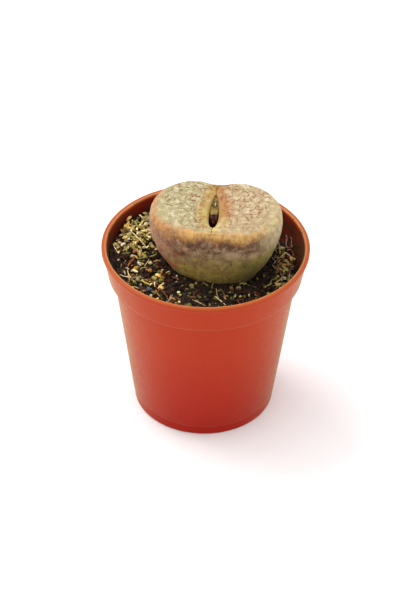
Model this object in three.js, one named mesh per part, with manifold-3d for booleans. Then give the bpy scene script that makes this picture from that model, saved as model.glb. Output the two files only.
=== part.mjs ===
// A living stone in a small plastic nursery pot: a fused pair of succulent leaves with an open
// fissure, rooted in a gritty peat mix. Millimetres, +Z up, the origin on the ground under the pot's
// axis. The fissure runs front to back, and the front of the pot is -Y.
import * as THREE from "three";
import { mergeVertices } from "three/addons/utils/BufferGeometryUtils.js";
import Module from "manifold-3d";

const wasm = await Module();
wasm.setup();

// Driving dimensions of the pot.
const POT_HEIGHT = 50;
const LIP_RADIUS = 27.5;
const LIP_HEIGHT = 1.2;
const LIP_PROUD = 0.45;
const INNER_LIP_RADIUS = 26.2;
const COLLAR_BASE_RADIUS = 25.8;
const COLLAR_BASE_Z = 41.2;
const WALL_TOP_RADIUS = 24.4;
const FOOT_RADIUS = 19;
const FOOT_STEP_Z = 3;
const FOOT_STEP = 0.35;
const FOOT_RING_INNER_RADIUS = 16.4;
const FOOT_RING_DEPTH = 1.2;
const WALL = 0.9;
const FLOOR_TOP_Z = 2.4;
const POT_SIDES = 72;

// Drain holes through the pot's floor.
const DRAIN_HOLES = 6;
const DRAIN_RADIUS = 1.9;
const DRAIN_CIRCLE_RADIUS = 12;
const DRAIN_SIDES = 14;

// The leaf pair: its place in the pot, and its outline at the shoulder.
const HEAD_X = 2.6;
const HEAD_Y = 1.3;
const HEAD_TURN = THREE.MathUtils.degToRad(-3);
const HEAD_HALF_WIDTH = 17.4;
const HEAD_FRONT_DEPTH = 13.3;
const HEAD_BACK_DEPTH = 14.1;
const HEAD_SQUARENESS = 2.25;
const HEAD_TOP_Z = 61;
const HEAD_FOOT_Z = 34;
const HEAD_SIDES = 64;

// The flank from the buried foot to the shoulder: share of the outline, and height.
const FLANK = [
  [0.3, HEAD_FOOT_Z],
  [0.44, 36.4],
  [0.58, 39.8],
  [0.71, 43.6],
  [0.82, 46.8],
  [0.905, 50],
  [0.965, 53.4],
  [1, 56.6],
  [0.995, 58.6],
  [0.967, 59.9],
  [0.92, 60.6],
];
// The left leaf tapers in a little more around one height, and its face stands a little higher.
const LEFT_TUCK = 0.02;
const LEFT_TUCK_Z = 45.5;
const LEFT_TUCK_SPREAD = 4;
const LEFT_RISE = 0.35;
const LEFT_RISE_FOOT_Z = 50;
// Depth and angular width of the dents where the two leaves meet at the back and the front.
const BACK_DENT = 2.5;
const FRONT_DENT = 0.6;
const DENT_SPREAD = 0.24;
const DENT_FOOT_Z = 47;
// The faces: shares of the way in from the shoulder to the fissure's lips, and their swelling.
const FACE_STEPS = [0.18, 0.42, 0.66, 0.84, 0.94];
const LOBE_RISE = 0.5;

// The fissure between the leaves.
const FISSURE_FRONT_Y = -10.9;
const FISSURE_BACK_Y = 9.4;
const GAPE_FRONT_Y = -7.5;
const GAPE_BACK_Y = 7.2;
const GAPE_WIDEST_Y = -0.8;
const GAPE_FRONT_POWER = 0.5;
const GAPE_BACK_POWER = 0.6;
const GAPE_HALF_WIDTH = 1.27;
const SLIT_HALF_WIDTH = 0.08;
const LIP_DROP = 0.15;
const LIP_ROLL = 0.5;
const FISSURE_FLOOR_Z = 54.5;
const FISSURE_FLOOR_WIDTH = 0.95;
const FLOOR_FRONT_Y = -6.3;
const FLOOR_BACK_Y = 6.2;

// What shows in the fissure: the next leaf pair, squeezed to the fissure's shape and parted by a cleft
// that runs across, and the dry stub of the last flower.
const YOUNG_FRONT_Y = 0;
const YOUNG_BACK_Y = 6;
const YOUNG_GAP = 0.2;
const YOUNG_HEIGHT = 4.6;
const YOUNG_CLEFT = 0.7;
const YOUNG_CLEFT_SPREAD = 0.4;
const YOUNG_SIDES = 32;
const STUB_Y = -1.4;
const STUB_RADIUS = 1.05;
const STUB_HEIGHT = 4.7;
const STUB_PUCKERS = 5;
const STUB_PUCKER_DEPTH = 0.08;
const STUB_SIDES = 20;

// The taproot and its side roots.
const ROOT_TOP_RADIUS = 3.4;
const ROOT_TIP_RADIUS = 0.5;
const ROOT_TIP_Z = 10;
const ROOT_SIDES = 14;
const ROOT_STEPS = 8;
const ROOT_SWAY = 0.7;
const SIDE_ROOTS = 7;
const SIDE_ROOT_LENGTH = 8;
const SIDE_ROOT_RADIUS = 0.55;
const SIDE_ROOT_DROP = 0.75;

// The potting mix: a peat fill that slopes down to the right, and the grit and bark on it.
const SOIL_LEVEL = 44;
const SOIL_SLOPE_X = -0.1;
const SOIL_BUMP = 0.45;
const SOIL_GAP = 0.25;
const SOIL_SIDES = 48;
const SOIL_RINGS = 9;
const CHIPS = 110;
const CHIP_INNER_RADIUS = 11.5;
const CHIP_SMALLEST = 0.6;
const CHIP_LARGEST = 1.5;
const CHIP_TILT = 0.9;
const CHIP_WALL_GAP = 1.6;
const CLEARANCE = 0.3;

const GOLDEN_ANGLE = Math.PI * (3 - Math.sqrt(5));
const TURN = 2 * Math.PI;

const { smoothstep } = THREE.MathUtils;
const bell = (distance, spread) => Math.exp(-((distance / spread) ** 2));
const mix = (a, b, share) => a + (b - a) * share;

// A repeatable random draw between 0 and 1.
function makeRandom(seed) {
  let state = seed;
  return () => {
    state = (state * 1664525 + 1013904223) % 4294967296;
    return state / 4294967296;
  };
}

// A closed solid from rings of points, each with the same count, capped flat at both ends.
function ringSolid(rings) {
  const sides = rings[0].length;
  const positions = [];
  const middle = (ring) =>
    ring.reduce((sum, p) => sum.add(p), new THREE.Vector3()).divideScalar(sides);
  const triangle = (a, b, c) => positions.push(...a.toArray(), ...b.toArray(), ...c.toArray());
  for (let k = 0; k + 1 < rings.length; k++) {
    for (let i = 0; i < sides; i++) {
      const j = (i + 1) % sides;
      triangle(rings[k][i], rings[k][j], rings[k + 1][j]);
      triangle(rings[k][i], rings[k + 1][j], rings[k + 1][i]);
    }
  }
  const first = rings[0];
  const last = rings[rings.length - 1];
  const foot = middle(first);
  const head = middle(last);
  for (let i = 0; i < sides; i++) {
    const j = (i + 1) % sides;
    triangle(foot, first[j], first[i]);
    triangle(head, last[i], last[j]);
  }
  const geometry = new THREE.BufferGeometry();
  geometry.setAttribute("position", new THREE.Float32BufferAttribute(positions, 3));
  return geometry;
}

// A geometry as a manifold solid.
function toSolid(geometry) {
  const bare = geometry.clone();
  bare.deleteAttribute("normal");
  bare.deleteAttribute("uv");
  const merged = mergeVertices(bare, 1e-4);
  return new wasm.Manifold(
    new wasm.Mesh({
      numProp: 3,
      vertProperties: new Float32Array(merged.attributes.position.array),
      triVerts: new Uint32Array(merged.index.array),
    }),
  );
}

// A manifold solid as a geometry, keeping its largest body.
function toGeometry(solid) {
  const bodies = solid.decompose().sort((a, b) => b.volume() - a.volume());
  const mesh = bodies[0].getMesh();
  const geometry = new THREE.BufferGeometry();
  geometry.setAttribute("position", new THREE.Float32BufferAttribute(mesh.vertProperties, 3));
  geometry.setIndex(new THREE.BufferAttribute(new Uint32Array(mesh.triVerts), 1));
  return geometry;
}

// A solid of revolution about Z, from a closed outline of [radius, height] points.
function turned(outline, sides) {
  const points = outline.map(([radius, height]) => new THREE.Vector2(radius, height));
  return new THREE.LatheGeometry(points, sides).rotateX(Math.PI / 2);
}

// A tapered branch along a curve.
function branch(curve, steps, sides, radiusAt) {
  const frames = curve.computeFrenetFrames(steps, false);
  const rings = [];
  for (let k = 0; k <= steps; k++) {
    const share = k / steps;
    const centre = curve.getPointAt(share);
    const radius = radiusAt(share);
    const ring = [];
    for (let i = 0; i < sides; i++) {
      const angle = (i / sides) * TURN;
      ring.push(
        centre
          .clone()
          .addScaledVector(frames.normals[k], radius * Math.cos(angle))
          .addScaledVector(frames.binormals[k], radius * Math.sin(angle)),
      );
    }
    rings.push(ring);
  }
  return ringSolid(rings);
}

// The pot's outer wall, from the foot to the lip's underside.
const wallRadius = (z) =>
  mix(FOOT_RADIUS + FOOT_STEP, WALL_TOP_RADIUS, (z - FOOT_STEP_Z) / (COLLAR_BASE_Z - FOOT_STEP_Z));

function potGeometry() {
  const lipBase = POT_HEIGHT - LIP_HEIGHT;
  const collarTop = LIP_RADIUS - LIP_PROUD;
  const outline = [
    [0, FOOT_RING_DEPTH],
    [FOOT_RING_INNER_RADIUS - 0.4, FOOT_RING_DEPTH],
    [FOOT_RING_INNER_RADIUS, 0],
    [FOOT_RADIUS - 0.5, 0],
    [FOOT_RADIUS - 0.12, 0.18],
    [FOOT_RADIUS, 0.55],
    [FOOT_RADIUS + 0.08, FOOT_STEP_Z - 0.25],
    [FOOT_RADIUS + FOOT_STEP, FOOT_STEP_Z],
    [wallRadius(COLLAR_BASE_Z), COLLAR_BASE_Z],
    [COLLAR_BASE_RADIUS - 0.3, COLLAR_BASE_Z + 0.15],
    [COLLAR_BASE_RADIUS, COLLAR_BASE_Z + 0.6],
    [collarTop, lipBase],
    [LIP_RADIUS - 0.1, lipBase + 0.1],
    [LIP_RADIUS, lipBase + 0.35],
    [LIP_RADIUS, POT_HEIGHT - 0.45],
    [LIP_RADIUS - 0.15, POT_HEIGHT - 0.12],
    [LIP_RADIUS - 0.45, POT_HEIGHT],
    [INNER_LIP_RADIUS + 0.35, POT_HEIGHT],
    [INNER_LIP_RADIUS + 0.08, POT_HEIGHT - 0.15],
    [INNER_LIP_RADIUS, POT_HEIGHT - 0.45],
    [COLLAR_BASE_RADIUS - WALL - 0.1, COLLAR_BASE_Z + 0.8],
    [wallRadius(COLLAR_BASE_Z) - WALL, COLLAR_BASE_Z - 0.6],
    [wallRadius(FOOT_STEP_Z) - WALL, FLOOR_TOP_Z + 0.8],
    [wallRadius(FOOT_STEP_Z) - WALL - 0.8, FLOOR_TOP_Z],
    [0, FLOOR_TOP_Z],
  ];
  let pot = toSolid(turned(outline, POT_SIDES));
  for (let i = 0; i < DRAIN_HOLES; i++) {
    const angle = ((i + 0.5) / DRAIN_HOLES) * TURN;
    const drill = new THREE.CylinderGeometry(DRAIN_RADIUS, DRAIN_RADIUS, 2 * FLOOR_TOP_Z, DRAIN_SIDES)
      .rotateX(Math.PI / 2)
      .translate(
        DRAIN_CIRCLE_RADIUS * Math.cos(angle),
        DRAIN_CIRCLE_RADIUS * Math.sin(angle),
        FLOOR_TOP_Z,
      );
    pot = pot.subtract(toSolid(drill));
  }
  return toGeometry(pot);
}

// The outline of the head at one angle, as a share of its shoulder, with the two dents at a height.
function headPoint(angle, share, z, grow) {
  const power = 2 / HEAD_SQUARENESS;
  const cos = Math.cos(angle);
  const sin = Math.sin(angle);
  const dentShare = smoothstep(z, DENT_FOOT_Z, HEAD_TOP_Z);
  const dent = (sin > 0 ? BACK_DENT : FRONT_DENT) * dentShare * bell(cos, DENT_SPREAD);
  const tuck = LEFT_TUCK * smoothstep(-cos, 0, 1) * bell(z - LEFT_TUCK_Z, LEFT_TUCK_SPREAD);
  const depth = sin > 0 ? HEAD_BACK_DEPTH : HEAD_FRONT_DEPTH;
  const x = Math.sign(cos) * Math.abs(cos) ** power * HEAD_HALF_WIDTH * (share - tuck);
  const y = Math.sign(sin) * (Math.abs(sin) ** power * depth * (share - tuck) - dent);
  const reach = Math.hypot(x, y);
  const scale = (reach + grow) / reach;
  const rise = LEFT_RISE * smoothstep(-cos, -0.2, 0.6) * smoothstep(z, LEFT_RISE_FOOT_Z, HEAD_TOP_Z);
  return new THREE.Vector3(x * scale, y * scale, z + rise);
}

// The fissure's outline: a closed slit to the front and back, with an almond-shaped gape between.
function gapeWidth(y) {
  const front = (y - GAPE_WIDEST_Y) / (GAPE_FRONT_Y - GAPE_WIDEST_Y);
  const back = (y - GAPE_WIDEST_Y) / (GAPE_BACK_Y - GAPE_WIDEST_Y);
  const along = y < GAPE_WIDEST_Y ? front : back;
  const open = Math.max(0, 1 - along * along);
  return open ** (y < GAPE_WIDEST_Y ? GAPE_FRONT_POWER : GAPE_BACK_POWER);
}

const fissureHalfWidth = (y) => SLIT_HALF_WIDTH + GAPE_HALF_WIDTH * gapeWidth(y);

function fissurePoint(angle, widen, frontY, backY, z) {
  const sin = Math.sin(angle);
  const cos = Math.cos(angle);
  const y = mix(frontY, backY, (sin + 1) / 2);
  const tapered = Math.min(1, Math.abs(cos) * 3);
  return new THREE.Vector3(Math.sign(cos) * fissureHalfWidth(y) * widen * tapered, y, z);
}

const headAngles = Array.from({ length: HEAD_SIDES }, (_, i) => ((i + 0.5) / HEAD_SIDES) * TURN);

function flankRings(grow) {
  return FLANK.map(([share, z]) =>
    headAngles.map((angle) => headPoint(angle, share, z, grow)),
  );
}

function leafPairGeometry() {
  const rings = flankRings(0);
  const [edgeShare, edgeZ] = FLANK[FLANK.length - 1];
  const lipZ = edgeZ - LIP_DROP;
  for (const inward of FACE_STEPS) {
    rings.push(
      headAngles.map((angle) => {
        const outer = headPoint(angle, edgeShare, edgeZ, 0);
        const inner = fissurePoint(angle, 1 + LIP_ROLL, FISSURE_FRONT_Y, FISSURE_BACK_Y, lipZ);
        const point = outer.lerp(inner, inward);
        point.z += LOBE_RISE * 4 * inward * (1 - inward);
        return point;
      }),
    );
  }
  const deep = [
    [1.12, 0, lipZ - 0.25],
    [1, 0.06, lipZ - 1],
    [0.97, 0.5, mix(lipZ, FISSURE_FLOOR_Z, 0.5)],
    [FISSURE_FLOOR_WIDTH, 1, FISSURE_FLOOR_Z],
  ];
  for (const [widen, inset, z] of deep) {
    const front = mix(FISSURE_FRONT_Y, FLOOR_FRONT_Y, inset);
    const back = mix(FISSURE_BACK_Y, FLOOR_BACK_Y, inset);
    rings.push(headAngles.map((angle) => fissurePoint(angle, widen, front, back, z)));
  }
  return ringSolid(rings);
}

// The next leaf pair: two small lobes pressed together, standing on the fissure's floor.
function youngLeafPairGeometry() {
  const levels = [
    [1, 0],
    [1, 0.6],
    [0.94, 0.84],
    [0.72, 0.97],
    [0.36, 1],
    [0.06, 1],
  ];
  const middle = (YOUNG_FRONT_Y + YOUNG_BACK_Y) / 2;
  const rings = levels.map(([share, rise]) =>
    Array.from({ length: YOUNG_SIDES }, (_, i) => {
      const angle = (i / YOUNG_SIDES) * TURN;
      const cos = Math.cos(angle);
      const y = mix(YOUNG_FRONT_Y, YOUNG_BACK_Y, (share * Math.sin(angle) + 1) / 2);
      const half = fissureHalfWidth(y) * FISSURE_FLOOR_WIDTH - YOUNG_GAP;
      const cleft = YOUNG_CLEFT * rise ** 2 * bell(y - middle, YOUNG_CLEFT_SPREAD);
      return new THREE.Vector3(
        Math.sign(cos) * Math.abs(cos) ** 0.7 * half * share,
        y,
        FISSURE_FLOOR_Z + YOUNG_HEIGHT * rise - cleft,
      );
    }),
  );
  return ringSolid(rings);
}

// The dry stub: a short stalk with a puckered dark head.
function flowerStubGeometry() {
  const levels = [
    [0.5, 0],
    [0.42, 0.3],
    [0.8, 0.5],
    [1, 0.7],
    [0.85, 0.9],
    [0.4, 1],
  ];
  const rings = levels.map(([share, rise]) =>
    Array.from({ length: STUB_SIDES }, (_, i) => {
      const angle = (i / STUB_SIDES) * TURN;
      const radius = STUB_RADIUS * share * (1 - STUB_PUCKER_DEPTH * rise * Math.cos(STUB_PUCKERS * angle));
      return new THREE.Vector3(
        radius * Math.cos(angle),
        STUB_Y + radius * Math.sin(angle),
        FISSURE_FLOOR_Z + STUB_HEIGHT * rise,
      );
    }),
  );
  return ringSolid(rings);
}

// The taproot with its side roots, grown by a clearance where it cuts its own hole.
function rootSolid(grow) {
  const rings = Array.from({ length: ROOT_STEPS + 1 }, (_, k) => {
    const share = k / ROOT_STEPS;
    const radius = mix(ROOT_TOP_RADIUS, ROOT_TIP_RADIUS, share ** 0.7) + grow;
    const sway = ROOT_SWAY * Math.sin(share * 5);
    const z = mix(HEAD_FOOT_Z, ROOT_TIP_Z - grow, share);
    return Array.from({ length: ROOT_SIDES }, (_, i) => {
      const angle = -(i / ROOT_SIDES) * TURN;
      return new THREE.Vector3(sway + radius * Math.cos(angle), radius * Math.sin(angle), z);
    });
  });
  let root = toSolid(ringSolid(rings));
  for (let i = 0; i < SIDE_ROOTS; i++) {
    const angle = i * GOLDEN_ANGLE;
    const z = mix(HEAD_FOOT_Z - 4, ROOT_TIP_Z + 5, i / (SIDE_ROOTS - 1));
    const reach = SIDE_ROOT_LENGTH * (1 - 0.05 * i);
    const out = (distance, drop) =>
      new THREE.Vector3(distance * Math.cos(angle), distance * Math.sin(angle), z - drop);
    const curve = new THREE.CatmullRomCurve3([
      out(0.4, 0),
      out(reach * 0.5, reach * 0.3 * SIDE_ROOT_DROP),
      out(reach, reach * SIDE_ROOT_DROP),
    ]);
    const radiusAt = (share) => mix(SIDE_ROOT_RADIUS, 0.2, share) + grow;
    root = root.add(toSolid(branch(curve, 5, 6, radiusAt)));
  }
  return root;
}

// The height of the potting mix's surface.
function soilHeight(x, y) {
  const bumps =
    Math.sin(0.55 * x + 1.3) * Math.cos(0.48 * y - 0.4) +
    0.6 * Math.sin(1.1 * x - 0.9 * y) +
    0.4 * Math.cos(1.7 * y + 0.8 * x);
  return SOIL_LEVEL + SOIL_SLOPE_X * x + SOIL_BUMP * bumps;
}

// The inside of the pot, drawn in by the mix's clearance and closed above the lip.
function potInside() {
  const wallTop = wallRadius(COLLAR_BASE_Z) - WALL - SOIL_GAP;
  const wallFoot = wallRadius(FOOT_STEP_Z) - WALL - SOIL_GAP;
  return toSolid(
    turned(
      [
        [0, FLOOR_TOP_Z],
        [wallFoot - 0.85, FLOOR_TOP_Z],
        [wallFoot, FLOOR_TOP_Z + 0.85],
        [wallTop, COLLAR_BASE_Z - 0.6],
        [COLLAR_BASE_RADIUS - WALL - 0.1 - SOIL_GAP, COLLAR_BASE_Z + 0.95],
        [INNER_LIP_RADIUS - SOIL_GAP, POT_HEIGHT - 0.6],
        [0, POT_HEIGHT - 0.6],
      ],
      SOIL_SIDES,
    ),
  );
}

// Everything under the mix's surface, wider than the pot.
function underSurface() {
  const angles = Array.from({ length: SOIL_SIDES }, (_, i) => ((i + 0.5) / SOIL_SIDES) * TURN);
  const ring = (radius, heightAt) =>
    angles.map((a) => {
      const x = radius * Math.cos(a);
      const y = radius * Math.sin(a);
      return new THREE.Vector3(x, y, heightAt(x, y));
    });
  const rings = [ring(LIP_RADIUS, () => 0)];
  for (let k = 0; k < SOIL_RINGS; k++) {
    rings.push(ring(LIP_RADIUS * (1 - k / SOIL_RINGS), soilHeight));
  }
  return toSolid(ringSolid(rings));
}

// One piece of grit or bark: a low-sided pebble, stretched and turned, half sunk into the mix.
function chip(random, index) {
  const outer = wallRadius(COLLAR_BASE_Z) - WALL - CHIP_WALL_GAP;
  const share = Math.sqrt((index + 0.5) / CHIPS);
  const radius = mix(CHIP_INNER_RADIUS, outer, share);
  const angle = index * GOLDEN_ANGLE;
  const x = radius * Math.cos(angle);
  const y = radius * Math.sin(angle);
  const size = mix(CHIP_SMALLEST, CHIP_LARGEST, random() ** 2);
  const shape =
    index % 3 === 0
      ? new THREE.BoxGeometry(2 * size, 1.3 * size, 0.7 * size)
      : new THREE.IcosahedronGeometry(size, 0).scale(1.15, 0.85, 0.7);
  return shape
    .rotateX(CHIP_TILT * (random() - 0.5))
    .rotateY(CHIP_TILT * (random() - 0.5))
    .rotateZ(TURN * random())
    .translate(x, y, soilHeight(x, y) + 0.1 * size);
}

function soilGeometry(headToPot) {
  const random = makeRandom(7);
  const chips = Array.from({ length: CHIPS }, (_, i) => toSolid(chip(random, i)));
  const fill = potInside().intersect(underSurface());
  const filled = wasm.Manifold.union([fill, ...chips]);
  const socket = ringSolid(flankRings(CLEARANCE)).translate(0, 0, -CLEARANCE);
  const headHole = toSolid(socket.applyMatrix4(headToPot));
  const rootHole = toSolid(toGeometry(rootSolid(CLEARANCE)).applyMatrix4(headToPot));
  return toGeometry(filled.subtract(headHole).subtract(rootHole));
}

function piece(name, geometry, color, roughness, parent) {
  const material = new THREE.MeshStandardMaterial({ color, roughness, metalness: 0 });
  const mesh = new THREE.Mesh(geometry, material);
  mesh.name = name;
  parent.add(mesh);
  return mesh;
}

const pottedPlant = new THREE.Group();
const head = new THREE.Group();
head.position.set(HEAD_X, HEAD_Y, 0);
head.rotation.z = HEAD_TURN;
head.updateMatrix();
pottedPlant.add(head);

piece("pot", potGeometry(), 0xc8452a, 0.5, pottedPlant);
piece("potting_mix", soilGeometry(head.matrix), 0x2e211a, 0.95, pottedPlant);
piece("leaf_pair", leafPairGeometry(), 0xb5a67c, 0.6, head);
piece("young_leaf_pair", youngLeafPairGeometry(), 0x7c7a2e, 0.5, head);
piece("flower_stub", flowerStubGeometry(), 0x1c1210, 0.5, head);
piece("taproot", toGeometry(rootSolid(0)), 0x8a6a48, 0.9, head);

export default pottedPlant;
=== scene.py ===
"""A living stone in a small round nursery pot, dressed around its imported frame.

Every piece is made in the frame's own coordinates: metres, +Z up, the pot's axis on Z and the pot's
front, which the camera faces, towards -Y.
"""

import math

import bpy
import numpy as np
from bpy.props import FloatProperty, FloatVectorProperty, IntProperty, PointerProperty
from mathutils import Matrix, Vector


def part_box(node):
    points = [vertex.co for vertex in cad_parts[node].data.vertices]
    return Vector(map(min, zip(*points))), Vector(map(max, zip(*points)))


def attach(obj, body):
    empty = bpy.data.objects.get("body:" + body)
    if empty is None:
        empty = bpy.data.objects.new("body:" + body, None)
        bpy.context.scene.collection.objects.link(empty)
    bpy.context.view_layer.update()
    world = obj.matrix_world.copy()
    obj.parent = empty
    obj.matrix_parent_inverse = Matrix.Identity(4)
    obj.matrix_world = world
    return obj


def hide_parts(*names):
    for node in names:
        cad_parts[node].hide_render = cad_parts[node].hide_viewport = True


bl_info = {
    "name": "Potted Living Stone",
    "version": (1, 0, 0),
    "blender": (4, 5, 0),
    "location": "View3D > Sidebar > Living Stone",
    "description": "Builds a potted living stone around its packed frame",
    "category": "Add Mesh",
}

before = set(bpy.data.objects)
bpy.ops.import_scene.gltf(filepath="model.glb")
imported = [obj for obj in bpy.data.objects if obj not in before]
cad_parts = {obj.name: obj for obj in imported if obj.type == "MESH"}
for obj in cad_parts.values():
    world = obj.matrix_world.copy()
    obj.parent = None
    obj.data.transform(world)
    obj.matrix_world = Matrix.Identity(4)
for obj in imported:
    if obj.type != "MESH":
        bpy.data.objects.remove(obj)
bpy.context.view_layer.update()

# The upper corner of the pot's box: the lip's radius and the pot's height.
POT_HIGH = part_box("pot")[1]

MM = 0.001
TURN = 2 * math.pi

# The photograph's frame, in pixels, and where the middle of the pot lies in it.
PHOTO_WIDTH = 401
PHOTO_HEIGHT = 601
POT_PIXEL_X = 204.6
POT_PIXEL_Y = 318.2

# The flank of the leaf pair, from the buried foot to the shoulder: share of the outline, height in mm.
FLANK = [
    (0.3, 34.0),
    (0.44, 36.4),
    (0.58, 39.8),
    (0.71, 43.6),
    (0.82, 46.8),
    (0.905, 50.0),
    (0.965, 53.4),
    (1.0, 56.6),
    (0.995, 58.6),
    (0.967, 59.9),
    (0.92, 60.6),
]

# How many rings each stretch between two control rings has: up the flank, over the faces and down the
# fissure, then on the young leaf pair and on the stub.
FLANK_STEPS = [2, 2, 3] + [7] * 7
FACE_STEPS = [14, 20, 22, 18, 12]
FISSURE_STEPS = [8, 8, 9, 9]
YOUNG_STEPS = [8] * 6
STUB_STEPS = [6] * 7

# Points around the leaf pair, the young leaf pair, the stub and the mix, and along a fibre.
HEAD_SIDES = 480
YOUNG_SIDES = 128
STUB_SIDES = 80
BED_SIDES = 600
FIBRE_POINTS = 14

# Rings on the mix's floor, on its wall, over its open top, down the head's socket and down the root's hole.
FLOOR_RINGS = 6
WALL_RINGS = 10
OPEN_RINGS = 68
SOCKET_RINGS = 8
ROOT_RINGS = 9

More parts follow.
